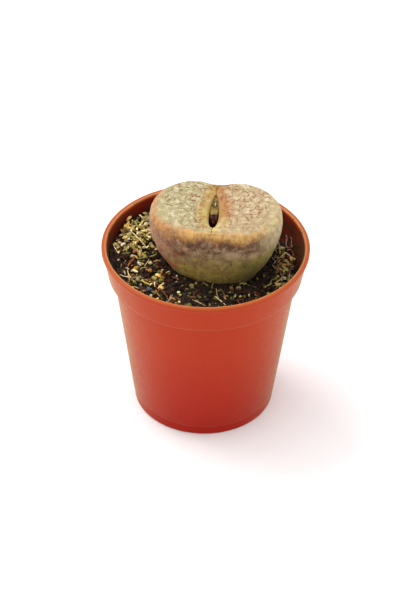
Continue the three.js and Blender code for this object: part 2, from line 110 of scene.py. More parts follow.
# Bits that stand out in the photograph. Each one runs through a few of its pixels, given with the height
# over the mix in mm, and has a half thickness in mm, a bluntness and one of the mix's colours.
BITS = {
    "long straw": (
        [(130, 230.5, 1.3), (135, 235, 1.2), (140, 240, 1.1), (146, 246.5, 0.9)],
        0.17,
        9,
        "straw",
    ),
    "heap straw": ([(124, 224, 0.9), (129, 227, 1.0), (134, 229, 1.0)], 0.2, 7, "yellow_grit"),
    "left straw": ([(113, 243.5, 0.7), (115.5, 249, 0.6), (119, 254, 0.4)], 0.13, 9, "pink_grit"),
    "low white fibre": ([(120, 274.5, 0.5), (124.5, 276.3, 0.6), (130.5, 277.5, 0.6)], 0.13, 9, "pink_grit"),
    "bent straw": ([(127.5, 269, 0.5), (128.5, 274, 0.7), (131.5, 278.5, 0.5)], 0.14, 9, "straw"),
    "grey leaf": ([(138, 258.5, 0.5), (143, 258, 0.6), (148, 256.5, 0.6)], 0.2, 2.5, "grey_leaf"),
    "grey leaf tip": ([(149, 256.8, 0.7), (153, 255.8, 0.7), (157.5, 253.6, 0.5)], 0.22, 2.5, "grey_leaf"),
    "thin straw": ([(144.5, 266.5, 0.4), (149, 259.5, 0.6)], 0.12, 9, "straw"),
    "brown twig": ([(127.5, 267, 0.4), (130.5, 262.5, 0.6), (136, 256.5, 0.6)], 0.3, 6, "bark"),
    "brown rootlet": ([(119, 253, 0.4), (121, 256, 0.4), (125, 259.5, 0.4)], 0.18, 6, "bark"),
    "olive blade": ([(140, 280.5, 0.4), (146, 283, 0.5), (152.5, 286.5, 0.4)], 0.24, 2.5, "green_grit"),
    "pale rod": ([(154.3, 281.5, 0.5), (154.8, 287, 0.4)], 0.16, 7, "pink_grit"),
    "tan rod": ([(155.5, 290, 0.5), (157.5, 293.5, 0.5), (160, 297, 0.4)], 0.2, 6, "tan_grit"),
    "tan chunk": ([(133, 252, 0.7), (137.5, 250.8, 0.8)], 0.42, 2.5, "tan_grit"),
    "yellow chunk": ([(138.5, 250.8, 0.9), (142, 252.8, 0.8)], 0.5, 2.5, "cream_grit"),
    "white chip": ([(127, 240, 0.8), (130, 238.3, 0.8)], 0.34, 3, "pink_grit"),
    "white slab": ([(121, 246, 0.5), (125.3, 243.2, 0.6)], 0.4, 3, "pink_grit"),
    "white grain": ([(137, 234, 1.3), (139, 233.6, 1.3)], 0.6, 2, "white_grit"),
    "cream grain": ([(143.2, 248, 0.9), (144.4, 247, 0.9)], 0.38, 2, "cream_grit"),
    "tan stone": ([(120.8, 232, 0.8), (123, 231, 0.8)], 0.62, 2, "tan_grit"),
    "white wedge": ([(137.6, 261.8, 0.6), (140.8, 265.6, 0.6)], 0.42, 2.2, "pink_grit"),
    "pale grain": ([(149.2, 263.4, 0.6), (151.4, 262.8, 0.6)], 0.5, 2, "cream_grit"),
    "golden grain": ([(148.4, 271.4, 0.5), (151.4, 270, 0.6)], 0.52, 2, "golden_grit"),
    "yellow flake": ([(131.8, 269.4, 0.5), (134.6, 271, 0.6), (138, 272.2, 0.5)], 0.36, 2, "cream_grit"),
    "blue-grey stone": ([(147.2, 289.8, 0.5), (150.2, 289.2, 0.5)], 0.72, 2, "stone"),
    "low pale grain": ([(149.8, 295.2, 0.5), (152, 295.6, 0.5)], 0.42, 2, "cream_grit"),
    "low yellow grain": ([(160.6, 287.2, 0.5), (163, 288.8, 0.5)], 0.42, 2, "yellow_grit"),
    "small gold grain": ([(160.6, 272, 0.4), (163, 273, 0.4)], 0.34, 2, "golden_grit"),
    "green tuft": ([(134.5, 246.5, 0.7), (137.5, 246, 0.7)], 0.6, 2, "moss"),
    "low green tuft": ([(159, 281, 0.5), (163, 279.6, 0.5)], 0.52, 2, "moss"),
    "front cream bit": ([(178, 302.3, 0.4), (180.4, 302, 0.4)], 0.42, 2, "cream_grit"),
    "front gold bit": ([(239, 297, 0.4), (241.6, 296.6, 0.4)], 0.36, 2, "yellow_grit"),
    "front straw": ([(214.5, 296, 0.4), (219.5, 300, 0.5), (226, 305.5, 0.4)], 0.15, 9, "straw"),
    "front fibre": ([(192, 299.5, 0.4), (200, 303, 0.4), (206, 306, 0.3)], 0.11, 9, "straw"),
    "orange bit": ([(254, 294, 0.4), (257, 292.4, 0.4)], 0.34, 2, "bark"),
    "grey straw": ([(273.5, 265.6, 0.4), (278, 268.3, 0.5), (283.5, 270, 0.5)], 0.2, 7, "tan_grit"),
    "yellow blade": ([(282, 265, 0.6), (285, 268.6, 0.7), (288.5, 271.6, 0.6)], 0.38, 2.5, "green_grit"),
    "white hook": ([(291, 270.6, 0.8), (289.4, 274.4, 0.7), (290, 280, 0.5)], 0.14, 9, "white_grit"),
    "right yellow grain": ([(291.6, 257.4, 0.7), (291.2, 261, 0.7)], 0.6, 2, "yellow_grit"),
    "right white grain": ([(296.6, 259.4, 0.6), (299, 258.8, 0.6)], 0.46, 2, "white_grit"),
    "low right grain": ([(284, 279, 0.5), (286, 278, 0.5)], 0.4, 2, "cream_grit"),
    "edge grain": ([(282.4, 286, 0.5), (284, 285.2, 0.5)], 0.4, 2, "yellow_grit"),
    "edge straw": ([(274, 283.5, 0.4), (279, 280.5, 0.5), (284, 276, 0.5)], 0.15, 8, "straw"),
    "low edge straw": ([(264, 288, 0.4), (268, 285.6, 0.5), (272, 283, 0.4)], 0.2, 6, "green_grit"),
    "curl by the head": (
        [(280, 254.5, 0.2), (279.6, 249, 1.8), (279, 244.6, 3.1), (278.2, 241, 4.2)],
        0.17,
        9,
        "pink_grit",
    ),
    "branch by the head": ([(279, 244.6, 3.1), (281.4, 247.4, 2.0), (284, 249.6, 1.1)], 0.11, 9, "pink_grit"),
    "curl in the middle": (
        [(288.4, 248.6, 0.3), (286, 244.2, 1.6), (286.8, 239, 3.2), (285.8, 234.4, 4.6)],
        0.17,
        9,
        "pink_grit",
    ),
    "curl by the wall": ([(294.2, 247, 1.6), (293.4, 241.6, 3.0), (290, 237, 4.4)], 0.16, 9, "pink_grit"),
    "curl on the mix": (
        [(287, 250.6, 0.6), (291, 249.2, 0.9), (294, 251.4, 0.8), (296.4, 256, 0.4)],
        0.14,
        9,
        "rootlet",
    ),
    "pale loop": ([(295.6, 245.4, 1.9), (297.4, 244.8, 2.2), (299.4, 244.6, 2.4)], 0.13, 9, "pink_grit"),
    "cream tangle": ([(281, 257.5, 0.5), (284, 254.4, 0.7), (287, 252.4, 0.6)], 0.22, 5, "straw"),
}

# Stains and patches that stand out on the skin, with a painted highlight at the notch and painted shade left
# of the front among them:
# middle and half sizes in the head's own frame in mm, strength, and one of the plant's colours.
STAINS = {
    "dark spot right of the fissure": ((1.0, 4.7, 60.4), (0.6, 1.1, 2.0), 0.8, "rust_mark"),
    "right arc": ((2.3, 1.9, 60.6), (0.6, 1.7, 2.0), 0.75, "stain"),
    "right arc's front": ((1.7, -0.3, 60.5), (0.6, 0.9, 2.0), 0.55, "stain"),
    "left arc": ((-3.5, 1.4, 60.6), (0.6, 1.4, 2.0), 0.6, "stain"),
    "left arc's back": ((-2.2, 5.2, 60.5), (0.8, 0.8, 2.0), 0.65, "stain"),
    # A painted highlight: pale yellow at the front end of the fissure.
    "painted highlight at the notch": ((0.1, -8.9, 60.2), (1.2, 0.9, 2.0), 0.4, "notch_highlight"),
    "red spot in front": ((0.9, -12.9, 58.4), (0.7, 2.0, 1.1), 0.2, "flank_red"),
    "grey streak in front": ((-0.9, -12.9, 58.3), (0.6, 2.0, 1.6), 0.35, "flank_pale"),
    "shade left of the front": ((-2.5, -12.5, 53.0), (2.0, 3.5, 3.8), 0.3, "dull_mark"),
    "pale patch right of the front": ((4.8, -12.2, 55.3), (3.6, 3.0, 1.9), 0.7, "flank_pale"),
    "pale patch left of the front": ((-5.4, -12.2, 55.3), (1.7, 3.0, 1.2), 0.45, "flank_pale"),
    "pale patch on the right": ((9.9, -9.2, 54.4), (2.6, 3.5, 1.7), 0.6, "flank_pale"),
    "red patch low on the left": ((-11.0, -7.0, 47.6), (2.6, 4.0, 2.0), 0.75, "flank_red"),
    "freckle on the right shoulder": ((9.5, -9.8, 58.3), (0.4, 1.2, 0.45), 0.9, "dull_mark"),
    "notch on the right flank": ((14.5, -3.3, 47.8), (0.6, 1.5, 0.6), 0.9, "dull_mark"),
}

# Painted glints on the young leaves and painted highlights on the stub, given in the same way.
GLINTS = {
    "left glint": ((-0.45, 3.5, 59.9), (0.16, 0.75, 1.5), 0.9, "pale_island"),
    "right glint": ((0.45, 2.7, 59.9), (0.12, 0.65, 1.5), 0.8, "pale_island"),
    # Painted highlights on the top of the stub.
    "big painted highlight on the stub": ((-0.5, -3.6, 59.2), (0.36, 1.2, 0.3), 0.6, "left_flank"),
    "small painted highlight on the stub": ((-0.1, -3.3, 59.8), (0.22, 1.0, 0.22), 0.45, "left_flank"),
}


def length(name, description, millimetres):
    """A size that a user can change, given here in millimetres."""
    return FloatProperty(
        name=name, description=description, default=millimetres * MM, unit="LENGTH", precision=5
    )


def angle(name, description, degrees):
    """An angle that a user can change, given here in degrees."""
    return FloatProperty(
        name=name, description=description, default=math.radians(degrees), unit="ROTATION"
    )


def share(name, description, value):
    """A share or factor without a unit."""
    return FloatProperty(name=name, description=description, default=value)


def colour(name, description, red, green, blue):
    """A colour given by its 0 to 255 screen values, kept as linear light."""
    linear = []
    for level in (red, green, blue):
        level = level / 255
        linear.append(level / 12.92 if level < 0.04045 else ((level + 0.055) / 1.055) ** 2.4)
    return FloatVectorProperty(
        name=name, description=description, default=linear, size=3, min=0, max=1, subtype="COLOR"
    )


class PotSettings(bpy.types.PropertyGroup):
    """Sizes and colours of the nursery pot."""

    lip_height: length("Lip height", "Height of the rolled lip", 1.2)
    lip_proud: length("Lip proud", "How far the lip stands out of the collar", 0.45)
    inner_lip_radius: length("Inner lip radius", "Radius of the mouth", 26.2)
    collar_radius: length("Collar radius", "Radius of the collar's lower edge", 25.8)
    collar_base: length("Collar base", "Height of the collar's lower edge", 41.2)
    wall_top_radius: length("Wall top radius", "Radius of the wall just under the collar", 24.4)
    foot_radius: length("Foot radius", "Radius of the foot ring", 19.0)
    foot_step_height: length("Foot step height", "Height of the step above the foot", 3.0)
    foot_step: length("Foot step", "How far the wall steps out above the foot", 0.35)
    foot_ring_inner_radius: length("Foot ring inner radius", "Inside of the ring it stands on", 16.4)
    foot_ring_depth: length("Foot ring depth", "How far the floor is lifted inside the ring", 1.2)
    wall: length("Wall", "Thickness of the wall", 0.9)
    floor_top: length("Floor top", "Height of the floor's upper side", 2.4)
    drain_holes: IntProperty(name="Drain holes", description="Holes in the floor", default=6)
    drain_radius: length("Drain radius", "Radius of a drain hole", 1.9)
    drain_circle: length("Drain circle", "Radius of the circle the holes lie on", 12.0)
    sides: IntProperty(name="Sides", description="Faces around the pot", default=288)
    plastic: colour("Plastic", "Main colour of the plastic", 180, 52, 10)
    low_plastic: colour("Low plastic", "Deeper colour towards the foot", 168, 22, 4)
    # The paler lip is partly the plastic's own colour and partly a painted highlight; its inner edge is a
    # painted highlight.
    lip_plastic: colour("Lip plastic", "Paler colour on the rubbed lip", 168, 88, 44)
    lip_edge: colour("Lip edge", "Palest inner edge of the lip", 192, 132, 84)
    # Painted shade: the same plastic made darker inside the pot.
    shaded_inner_plastic: colour("Inner plastic", "Darker inside of the pot", 118, 24, 9)
    dust: colour("Dust", "Dried mix on the inner wall", 60, 38, 26)


class PlantSettings(bpy.types.PropertyGroup):
    """Sizes and colours of the leaf pair and what stands in its fissure."""

    x: length("X", "Place of the head to the right of the pot's axis", 2.6)
    y: length("Y", "Place of the head behind the pot's axis", 1.3)
    turn: angle("Turn", "Turn of the head", -3)
    half_width: length("Half width", "Half width at the shoulder", 17.4)
    front_depth: length("Front depth", "From the middle to the front shoulder", 13.3)
    back_depth: length("Back depth", "From the middle to the back shoulder", 14.1)
    squareness: share("Squareness", "Power of the outline, 2 for an ellipse", 2.25)
    left_tuck: share("Left tuck", "How much more the left leaf tapers in", 0.02)
    left_tuck_height: length("Left tuck height", "Height of the left leaf's tuck", 45.5)
    left_rise: length("Left rise", "How much higher the left face stands", 0.35)
    top: length("Top", "Height that the dents are fully deep at", 61.0)
    dent_foot: length("Dent foot", "Height that the dents start from", 47.0)
    back_dent: length("Back dent", "Depth of the notch at the back", 2.5)
    front_dent: length("Front dent", "Depth of the notch at the front", 0.6)
    dent_spread: share("Dent spread", "Angular width of the notches", 0.24)
    lobe_rise: length("Lobe rise", "Swelling of each lobe's face", 0.5)
    fissure_front: length("Fissure front", "Front end of the slit", -10.9)
    fissure_back: length("Fissure back", "Back end of the slit", 9.4)
    gape_front: length("Gape front", "Front end of the opening", -7.7)
    gape_back: length("Gape back", "Back end of the opening", 7.0)
    gape_widest: length("Gape widest", "Place of the opening's widest point", -2.8)
    gape_half_width: length("Gape half width", "Half of the opening's width", 1.22)
    slit_half_width: length("Slit half width", "Half width of the closed slit", 0.02)
    lip_roll: share("Lip roll", "How far the lips round back from the slit", 0.5)
    fissure_floor: length("Fissure floor", "Height of the fissure's floor", 54.5)
    floor_width: share("Floor width", "Width of the fissure's floor by its lips", 0.95)
    floor_front: length("Floor front", "Front end of the fissure's floor", -6.3)
    floor_back: length("Floor back", "Back end of the fissure's floor", 6.2)
    fissure_aside: length("Fissure aside", "How far the fissure lies to the right", -0.45)
    fissure_lean: share("Fissure lean", "Turn of the fissure towards the right at the back", 0.014)
    young_front: length("Young leaf front", "Front end of the young leaf pair", -1.6)
    young_back: length("Young leaf back", "Back end of the young leaf pair", 6.8)
    young_gap: length("Young leaf gap", "Clearance to the fissure's walls", 0.03)
    young_height: length("Young leaf height", "Above the fissure's floor", 5.45)
    young_cleft: length("Young leaf cleft", "Depth of the cleft across the young pair", 0.7)
    stub_y: length("Stub place", "Middle of the dry flower stub", -2.6)
    stub_radius: length("Stub radius", "Radius of the dry flower stub", 1.18)
    stub_height: length("Stub height", "Height of the dry flower stub", 5.75)
    root_radius: length("Root radius", "Radius of the taproot under the leaves", 3.4)
    root_tip_radius: length("Root tip radius", "Radius of the taproot's tip", 0.5)
    root_tip: length("Root tip", "Height of the taproot's tip", 10.0)
    mark_spacing: length("Mark spacing", "Distance between the marks on the face", 1.9)
    mark_width: length("Mark width", "Width of the marks on the face", 0.7)
    mark_depth: length("Mark depth", "Depth of the marks on the face", 0.05)
    unevenness: length("Unevenness", "Height of the skin's soft waves", 0.55)
    left_face: colour("Left face", "Greenish khaki of the left face", 160, 151, 111)
    right_face: colour("Right face", "Beige of the right face", 170, 148, 112)
    pale_island: colour("Pale island", "Palest parts of the faces", 214, 206, 172)
    dull_island: colour("Dull island", "Duller parts of the faces", 150, 130, 90)
    rust_mark: colour("Rust mark", "Red-brown of the marks", 122, 52, 22)
    olive_mark: colour("Olive mark", "Olive-brown of the left face's marks", 112, 78, 42)
    dull_mark: colour("Dull mark", "Mauve-brown of veils and freckles", 78, 52, 34)
    stain: colour("Stain", "Orange-brown beside the fissure", 158, 96, 16)
    left_lip: colour("Left lip", "Yellow-green on the left of the fissure", 178, 153, 74)
    # A painted highlight at the front end of the fissure.
    notch_highlight: colour("Notch glow", "Pale yellow at the front end of the fissure", 214, 190, 108)
    shoulder: colour("Shoulder", "Ochre band on the shoulder", 204, 161, 94)
    shoulder_low: colour("Low shoulder", "Orange-brown under the ochre band", 165, 116, 60)
    flank_high: colour("High flank", "Mauve-brown under the shoulder", 116, 86, 60)
    flank_mid: colour("Middle flank", "Grey-beige below the mauve", 174, 150, 110)
    flank_pale: colour("Pale flank", "Pale grey patches", 204, 176, 142)
    flank_tan: colour("Tan flank", "Olive-tan of the lower flank", 212, 190, 116)
    # Olive near the mix, painted much lighter than the skin is to make up for the shade under the overhang.
    flank_low: colour("Low flank", "Olive green near the mix", 234, 216, 118)
    flank_green: colour("Green flank", "Darker green low on the right", 160, 156, 76)
    flank_red: colour("Red flank", "Reddish patches low on the left", 230, 126, 74)
    # Both side colours are partly the skin's own hue and partly painted light falling on the sides.
    left_flank: colour("Left flank", "Pinkish mauve of the left side", 206, 150, 122)
    right_flank: colour("Right flank", "Pale khaki of the right side", 190, 176, 134)
    fissure_wall: colour("Fissure wall", "Brown-olive inside of the lips", 150, 118, 48)
    # Darker deep in the fissure as painted shade; also the young leaf's darker blotches.
    fissure_deep: colour("Fissure deep", "Dark brown low in the fissure", 104, 76, 24)
    young_leaf: colour("Young leaf", "Olive of the young leaf pair", 132, 108, 30)
    # The dry flower's brown, partly painted lighter to make up for the shade deep in the fissure.
    dry_flower: colour("Dry flower", "Dark brown of the dry flower", 136, 72, 62)
    dark_flower: colour("Dark flower", "Near-black of the dry flower", 18, 10, 10)
    root: colour("Root", "Corky brown of the root", 150, 112, 76)
    dark_root: colour("Dark root", "Darker brown of the root", 97, 75, 52)


class MixSettings(bpy.types.PropertyGroup):
    """Sizes and colours of the potting mix."""

    level: length("Level", "Height of the mix on the pot's axis", 44.0)
    slope: share("Slope", "Rise of the mix towards +X", -0.1)
    bump: length("Bump", "Height of the broad bumps", 0.45)
    gap: length("Gap", "Clearance to the pot's wall", 0.25)
    clearance: length("Clearance", "Clearance to the plant", 0.3)
    relief: length("Relief", "Height of the crumbly relief", 1.1)
    relief_size: length("Relief size", "Width of the crumbly relief", 1.8)
    seed: IntProperty(name="Seed", description="Seed of the scattered pieces", default=11)
    peat: colour("Peat", "Dark brown of moist peat", 62, 47, 32)
    dark_peat: colour("Dark peat", "Near-black of wet peat", 27, 21, 15)
    red_peat: colour("Red peat", "Red-brown bits", 118, 60, 42)
    cream_grit: colour("Cream grit", "Pale grains", 255, 240, 186)
    yellow_grit: colour("Yellow grit", "Yellowish grains", 244, 212, 128)
    green_grit: colour("Green grit", "Greenish grains", 200, 190, 108)
    pink_grit: colour("Pink grit", "Pinkish white slivers", 246, 224, 196)
    tan_grit: colour("Tan grit", "Tan grains", 190, 140, 84)
    bark: colour("Bark", "Orange-brown bark", 158, 88, 44)
    dark_bark: colour("Dark bark", "Dark bark", 78, 42, 24)
    straw: colour("Straw", "Pale straw fibre", 232, 208, 150)
    brown_fibre: colour("Brown fibre", "Brown coir fibre", 124, 78, 46)
    moss: colour("Moss", "Green bits", 132, 134, 58)
    stone: colour("Stone", "Blue-grey stone", 100, 114, 114)
    white_grit: colour("White grit", "Whitish grains and fibres", 244, 240, 224)
    golden_grit: colour("Golden grit", "Golden grains", 206, 146, 54)
    grey_leaf: colour("Grey leaf", "Grey-green bits of dry leaf", 164, 164, 118)
    rootlet: colour("Rootlet", "Orange-pink rootlets", 222, 160, 112)


class StageSettings(bpy.types.PropertyGroup):
    """Camera, floor and light."""

    distance: length("Distance", "From the camera to the middle of the pot", 600.0)
    aim_height: length("Aim height", "Height of the point that the camera is fitted to", 25.0)
    elevation: angle("Elevation", "Camera elevation", 39.0)
    roll: angle("Roll", "Camera roll", 0.85)
    pixels_per_mm: share("Pixels per mm", "Scale of the photograph at the pot", 3.70)
    floor: colour("Floor", "Pale floor and backdrop", 246, 246, 246)
    sky: share("Surrounding light", "Strength of the even light", 1.35)
    front_sky: share("Front light", "Strength of the light from the front", 0.62)
    key: FloatProperty(name="Key light", description="Power of the key light", default=2.4, unit="POWER")
    key_size: length("Key size", "Diameter of the key light", 500.0)
    key_place: FloatVectorProperty(
        name="Key place", description="Place of the key light", default=(-0.34, 0.26, 0.62), unit="LENGTH"
    )


SETTINGS = {
    "stone_pot": PotSettings,
    "stone_plant": PlantSettings,
    "stone_mix": MixSettings,
    "stone_stage": StageSettings,
}


# Shapes from rings of points.


def bell(distance, spread):
    """1 at no distance, falling off smoothly within the spread."""
    return np.exp(-((distance / spread) ** 2))


def ramp(value, low, high):
    """A smooth step from 0 at low to 1 at high."""
    step = np.clip((value - low) / (high - low), 0, 1)
    return step * step * (3 - 2 * step)


def mix(first, second, part):
    """The value between two, at a part of the way."""
    return first + (second - first) * part


def ring_mesh(name, rings):
    """A closed mesh from an array of rings, capped at both ends, with its faces outwards."""
    count, sides = rings.shape[:2]
    ends = np.array([rings[0].mean(axis=0), rings[-1].mean(axis=0)])
    points = np.concatenate([rings.reshape(-1, 3), ends])
    around = np.arange(sides)
    onward = (around + 1) % sides
    faces = []
    for k in range(count - 1):
        low, high = k * sides, (k + 1) * sides
        faces += np.stack([low + around, low + onward, high + onward, high + around], axis=1).tolist()
    first, last = count * sides, count * sides + 1
    top = (count - 1) * sides
    for i, j in zip(around.tolist(), onward.tolist()):
        faces.append([first, j, i])
        faces.append([last, top + i, top + j])
    mesh = bpy.data.meshes.new(name)
    mesh.from_pydata(points.tolist(), [], faces)
    mesh.polygons.foreach_set("use_smooth", np.ones(len(faces), dtype=bool))
    mesh.update()
    return mesh


def spline_rings(controls, steps):
    """Rings along a smooth curve through control rings, with a count of steps for each stretch."""
    controls = np.asarray(controls)
    padded = np.concatenate([2 * controls[:1] - controls[1:2], controls, 2 * controls[-1:] - controls[-2:-1]])
    rings = []
    for k, count in enumerate(steps):
        before, here, there, after = padded[k : k + 4]
        for t in np.arange(count) / count:
            rings.append(
                0.5
                * (
                    2 * here
                    + (there - before) * t
                    + (2 * before - 5 * here + 4 * there - after) * t**2
                    + (3 * here - before - 3 * there + after) * t**3
                )
            )
    rings.append(controls[-1])
    return np.array(rings)


def rounded(outline, steps=7):
    """An outline of (radius, height, rounding) with each corner turned into a smooth curve."""
    points = [np.array(outline[0][:2])]
    for before, here, after in zip(outline, outline[1:], outline[2:]):
        corner = np.array(here[:2])
        if here[2] == 0:
            points.append(corner)
            continue
        back = np.array(before[:2]) - corner
        on = np.array(after[:2]) - corner
        start = corner + back / np.linalg.norm(back) * min(here[2], np.linalg.norm(back) / 2)
        end = corner + on / np.linalg.norm(on) * min(here[2], np.linalg.norm(on) / 2)
        for t in np.linspace(0, 1, steps):
            points.append((1 - t) ** 2 * start + 2 * t * (1 - t) * corner + t**2 * end)
    points.append(np.array(outline[-1][:2]))
    return np.array(points)


def divided(outline, longest):
    """An outline with its long stretches cut into shorter ones."""
    points = [outline[0]]
    for here, there in zip(outline, outline[1:]):
        count = max(1, math.ceil(np.linalg.norm(there - here) / longest))
        points += [here + (there - here) * k / count for k in range(1, count + 1)]
    return np.array(points)


def circle(sides):
    """Evenly spaced angles, none of them on an axis."""
    return (np.arange(sides) + 0.5) / sides * TURN


def level_ring(angles, radius, height):
    """A ring around the pot's axis, with one radius and height or with one for each angle."""
    return np.stack(np.broadcast_arrays(radius * np.cos(angles), radius * np.sin(angles), height), axis=1)


def nearest(rings, curve):
    """The distance of every point of some rings to the nearest point of a curve."""
    return np.array([np.linalg.norm(ring[:, None] - curve, axis=2).min(axis=1) for ring in rings])


def store(mesh, name, values):
    """Keeps one number for each point of a mesh under a name."""
    attribute = mesh.attributes.new(name, "FLOAT", "POINT")
    attribute.data.foreach_set("value", np.asarray(values, dtype=np.float32))


# Node trees.


class Graph:
    """Adds linked nodes to one tree, the same way for materials and for Geometry Nodes."""

    def __init__(self, tree):
        self.tree = tree

    def feed(self, node, sockets):
        """Links a node's sockets, or sets their plain values."""
        for key, value in sockets.items():
            socket = node.inputs[key]
            if isinstance(value, bpy.types.NodeSocket):
                self.tree.links.new(value, socket)
            elif socket.type == "RGBA":
                socket.default_value = (*value[:3], 1)
            else:
                socket.default_value = value

    def add(self, kind, sockets=None, **settings):
        """A new node with its settings and sockets."""
        made = self.tree.nodes.new(kind)
        for name, value in settings.items():
            setattr(made, name, value)
        self.feed(made, sockets or {})
        return made

    def get(self, kind, sockets=None, **settings):
        """The first output of a new node."""
        return self.add(kind, sockets, **settings).outputs[0]

    def math(self, operation, *values):
        """The result of a Math node."""
        return self.get("ShaderNodeMath", dict(enumerate(values)), operation=operation)

    def times(self, *values):
        """The product of several values."""
        result = values[0]
        for value in values[1:]:
            result = self.math("MULTIPLY", result, value)
        return result

    def centred(self, value):
        """A value around 0.5 moved to lie around 0."""
        return self.math("SUBTRACT", value, 0.5)

    def vector(self, operation, *values):
        """The result of a Vector Math node."""
        return self.get("ShaderNodeVectorMath", dict(enumerate(values)), operation=operation)

    def scaled(self, vector, factor):
        """A vector made longer or shorter by a factor."""
        return self.get("ShaderNodeVectorMath", {0: vector, "Scale": factor}, operation="SCALE")

    def joined(self, x=0.0, y=0.0, z=0.0):
        """A vector from its three parts."""
        return self.get("ShaderNodeCombineXYZ", {0: x, 1: y, 2: z})

    def split(self, vector):
        """The three parts of a vector."""
        return self.add("ShaderNodeSeparateXYZ", {0: vector}).outputs[:3]

    def across(self, x, y):
        """The distance from the axis."""
        return self.math("SQRT", self.math("ADD", self.times(x, x), self.times(y, y)))

    def ramp(self, value, low, high, to_low=0.0, to_high=1.0):
        """A smooth step from to_low, at low, to to_high, at high."""
        sockets = {0: value, 1: low, 2: high, 3: to_low, 4: to_high}
        return self.get("ShaderNodeMapRange", sockets, interpolation_type="SMOOTHSTEP")

    def ramps(self, *steps):
        """The product of several smooth steps."""
        return self.times(*[self.ramp(*step) for step in steps])

    def noise(self, place, size, detail=2.0, roughness=0.5, shift=None):
        """A noise whose features are about a given size, shifted where it has to differ from others."""
        if shift:
            place = self.vector("ADD", place, shift)
        sockets = {"Vector": place, "Scale": 1 / size, "Detail": detail, "Roughness": roughness}
        return self.get("ShaderNodeTexNoise", sockets)

    def cells(self, place, size, feature="DISTANCE_TO_EDGE", dimensions="3D"):
        """The distance inside cells of about a given size, in shares of that size."""
        sockets = {"Vector": place, "Scale": 1 / size}
        settings = {"feature": feature, "voronoi_dimensions": dimensions}
        return self.add("ShaderNodeTexVoronoi", sockets, **settings).outputs["Distance"]

    def push(self, place, size, reach, detail=2.0):
        """A push by a noise in all directions, by up to about half the reach."""
        sockets = {"Vector": place, "Scale": 1 / size, "Detail": detail}
        noises = self.add("ShaderNodeTexNoise", sockets).outputs["Color"]
        return self.scaled(self.vector("SUBTRACT", noises, (0.5, 0.5, 0.5)), reach)

    def bend(self, place, size, reach):
        """A place pushed about by a noise."""
        return self.vector("ADD", place, self.push(place, size, reach))

    def blend(self, factor, first, second, mode="MIX"):
        """A mix of two colours."""
        sockets = {0: factor, 6: first, 7: second}
        return self.add("ShaderNodeMix", sockets, data_type="RGBA", blend_type=mode).outputs[2]

    def layered(self, base, *layers):
        """A colour with others laid over it one by one, each of them by its own mask."""
        for mask, shade in layers:
            base = self.blend(mask, base, shade)
        return base

    def shaded(self, body, factor):
        """A colour made lighter or darker by a factor."""
        tone = self.get("ShaderNodeCombineColor", {0: factor, 1: factor, 2: factor})
        return self.blend(1.0, body, tone, "MULTIPLY")

    def colour_run(self, value, stops, interpolation):
        """A run of colours along a value from 0 to 1."""
        made = self.add("ShaderNodeValToRGB", {0: value})
        made.color_ramp.interpolation = interpolation
        elements = made.color_ramp.elements
        elements.remove(elements[1])
        for k, (at, shade) in enumerate(stops):
            stop = elements[0] if k == 0 else elements.new(at)
            stop.position = at
            stop.color = (*shade[:3], 1)
        return made.outputs[0]

    def palette(self, value, colours):
        """One of a row of colours, picked by a value from 0 to 1."""
        stops = [(k / len(colours), shade) for k, shade in enumerate(colours)]
        return self.colour_run(value, stops, "CONSTANT")

    def bands(self, value, stops):
        """A soft run of colours along a value, from the first stop's value to the last one's."""
        first, last = stops[0][0], stops[-1][0]
        part = self.get("ShaderNodeMapRange", {0: value, 1: first, 2: last})
        return self.colour_run(part, [((at - first) / (last - first), shade) for at, shade in stops], "EASE")

    def bump(self, height, distance, strength=1.0):
        """A normal that lets a height field lift the surface's shading."""
        sockets = {"Height": height, "Distance": distance, "Strength": strength}
        return self.get("ShaderNodeBump", sockets)

    def attribute(self, name):
        """A number kept on the mesh, read by a material."""
        return self.add("ShaderNodeAttribute", attribute_name=name).outputs["Fac"]

    def named(self, name):
        """A number kept on the mesh, read by Geometry Nodes."""
        return self.get("GeometryNodeInputNamedAttribute", {"Name": name}, data_type="FLOAT")

    def random(self, low, high, seed):
        """A random number for each element."""
        sockets = {2: low, 3: high, "Seed": seed}
        return self.add("FunctionNodeRandomValue", sockets, data_type="FLOAT").outputs[1]

    def random_vector(self, low, high, seed):
        """A random vector for each element."""
        sockets = {0: low, 1: high, "Seed": seed}
        return self.get("FunctionNodeRandomValue", sockets, data_type="FLOAT_VECTOR")

    def position(self):
        """The place of each point, read by Geometry Nodes."""
        return self.get("GeometryNodeInputPosition")

    def moved(self, geometry, **sockets):
        """Geometry with its points pushed by an Offset or put to a new Position."""
        return self.get("GeometryNodeSetPosition", {"Geometry": geometry, **sockets})


def new_material(name):
    """A material with its graph, its shader and the object's own coordinates."""
    material = bpy.data.materials.new(name)
    material.use_nodes = True
    graph = Graph(material.node_tree)
    shader = material.node_tree.nodes["Principled BSDF"]
    place = graph.add("ShaderNodeTexCoord").outputs["Object"]
    return material, graph, shader, place


def shader_group(name, inputs, output, build):
    """A shader node group that takes a place and some named numbers and gives one number."""
    tree = bpy.data.node_groups.new(name, "ShaderNodeTree")
    tree.interface.new_socket("Place", in_out="INPUT", socket_type="NodeSocketVector")
    for label, default in inputs.items():
        socket = tree.interface.new_socket(label, in_out="INPUT", socket_type="NodeSocketFloat")
        socket.default_value = default
    tree.interface.new_socket(output, in_out="OUTPUT", socket_type="NodeSocketFloat")
    graph = Graph(tree)
    graph.add("NodeGroupOutput", {output: build(graph, graph.add("NodeGroupInput").outputs)})
    return tree


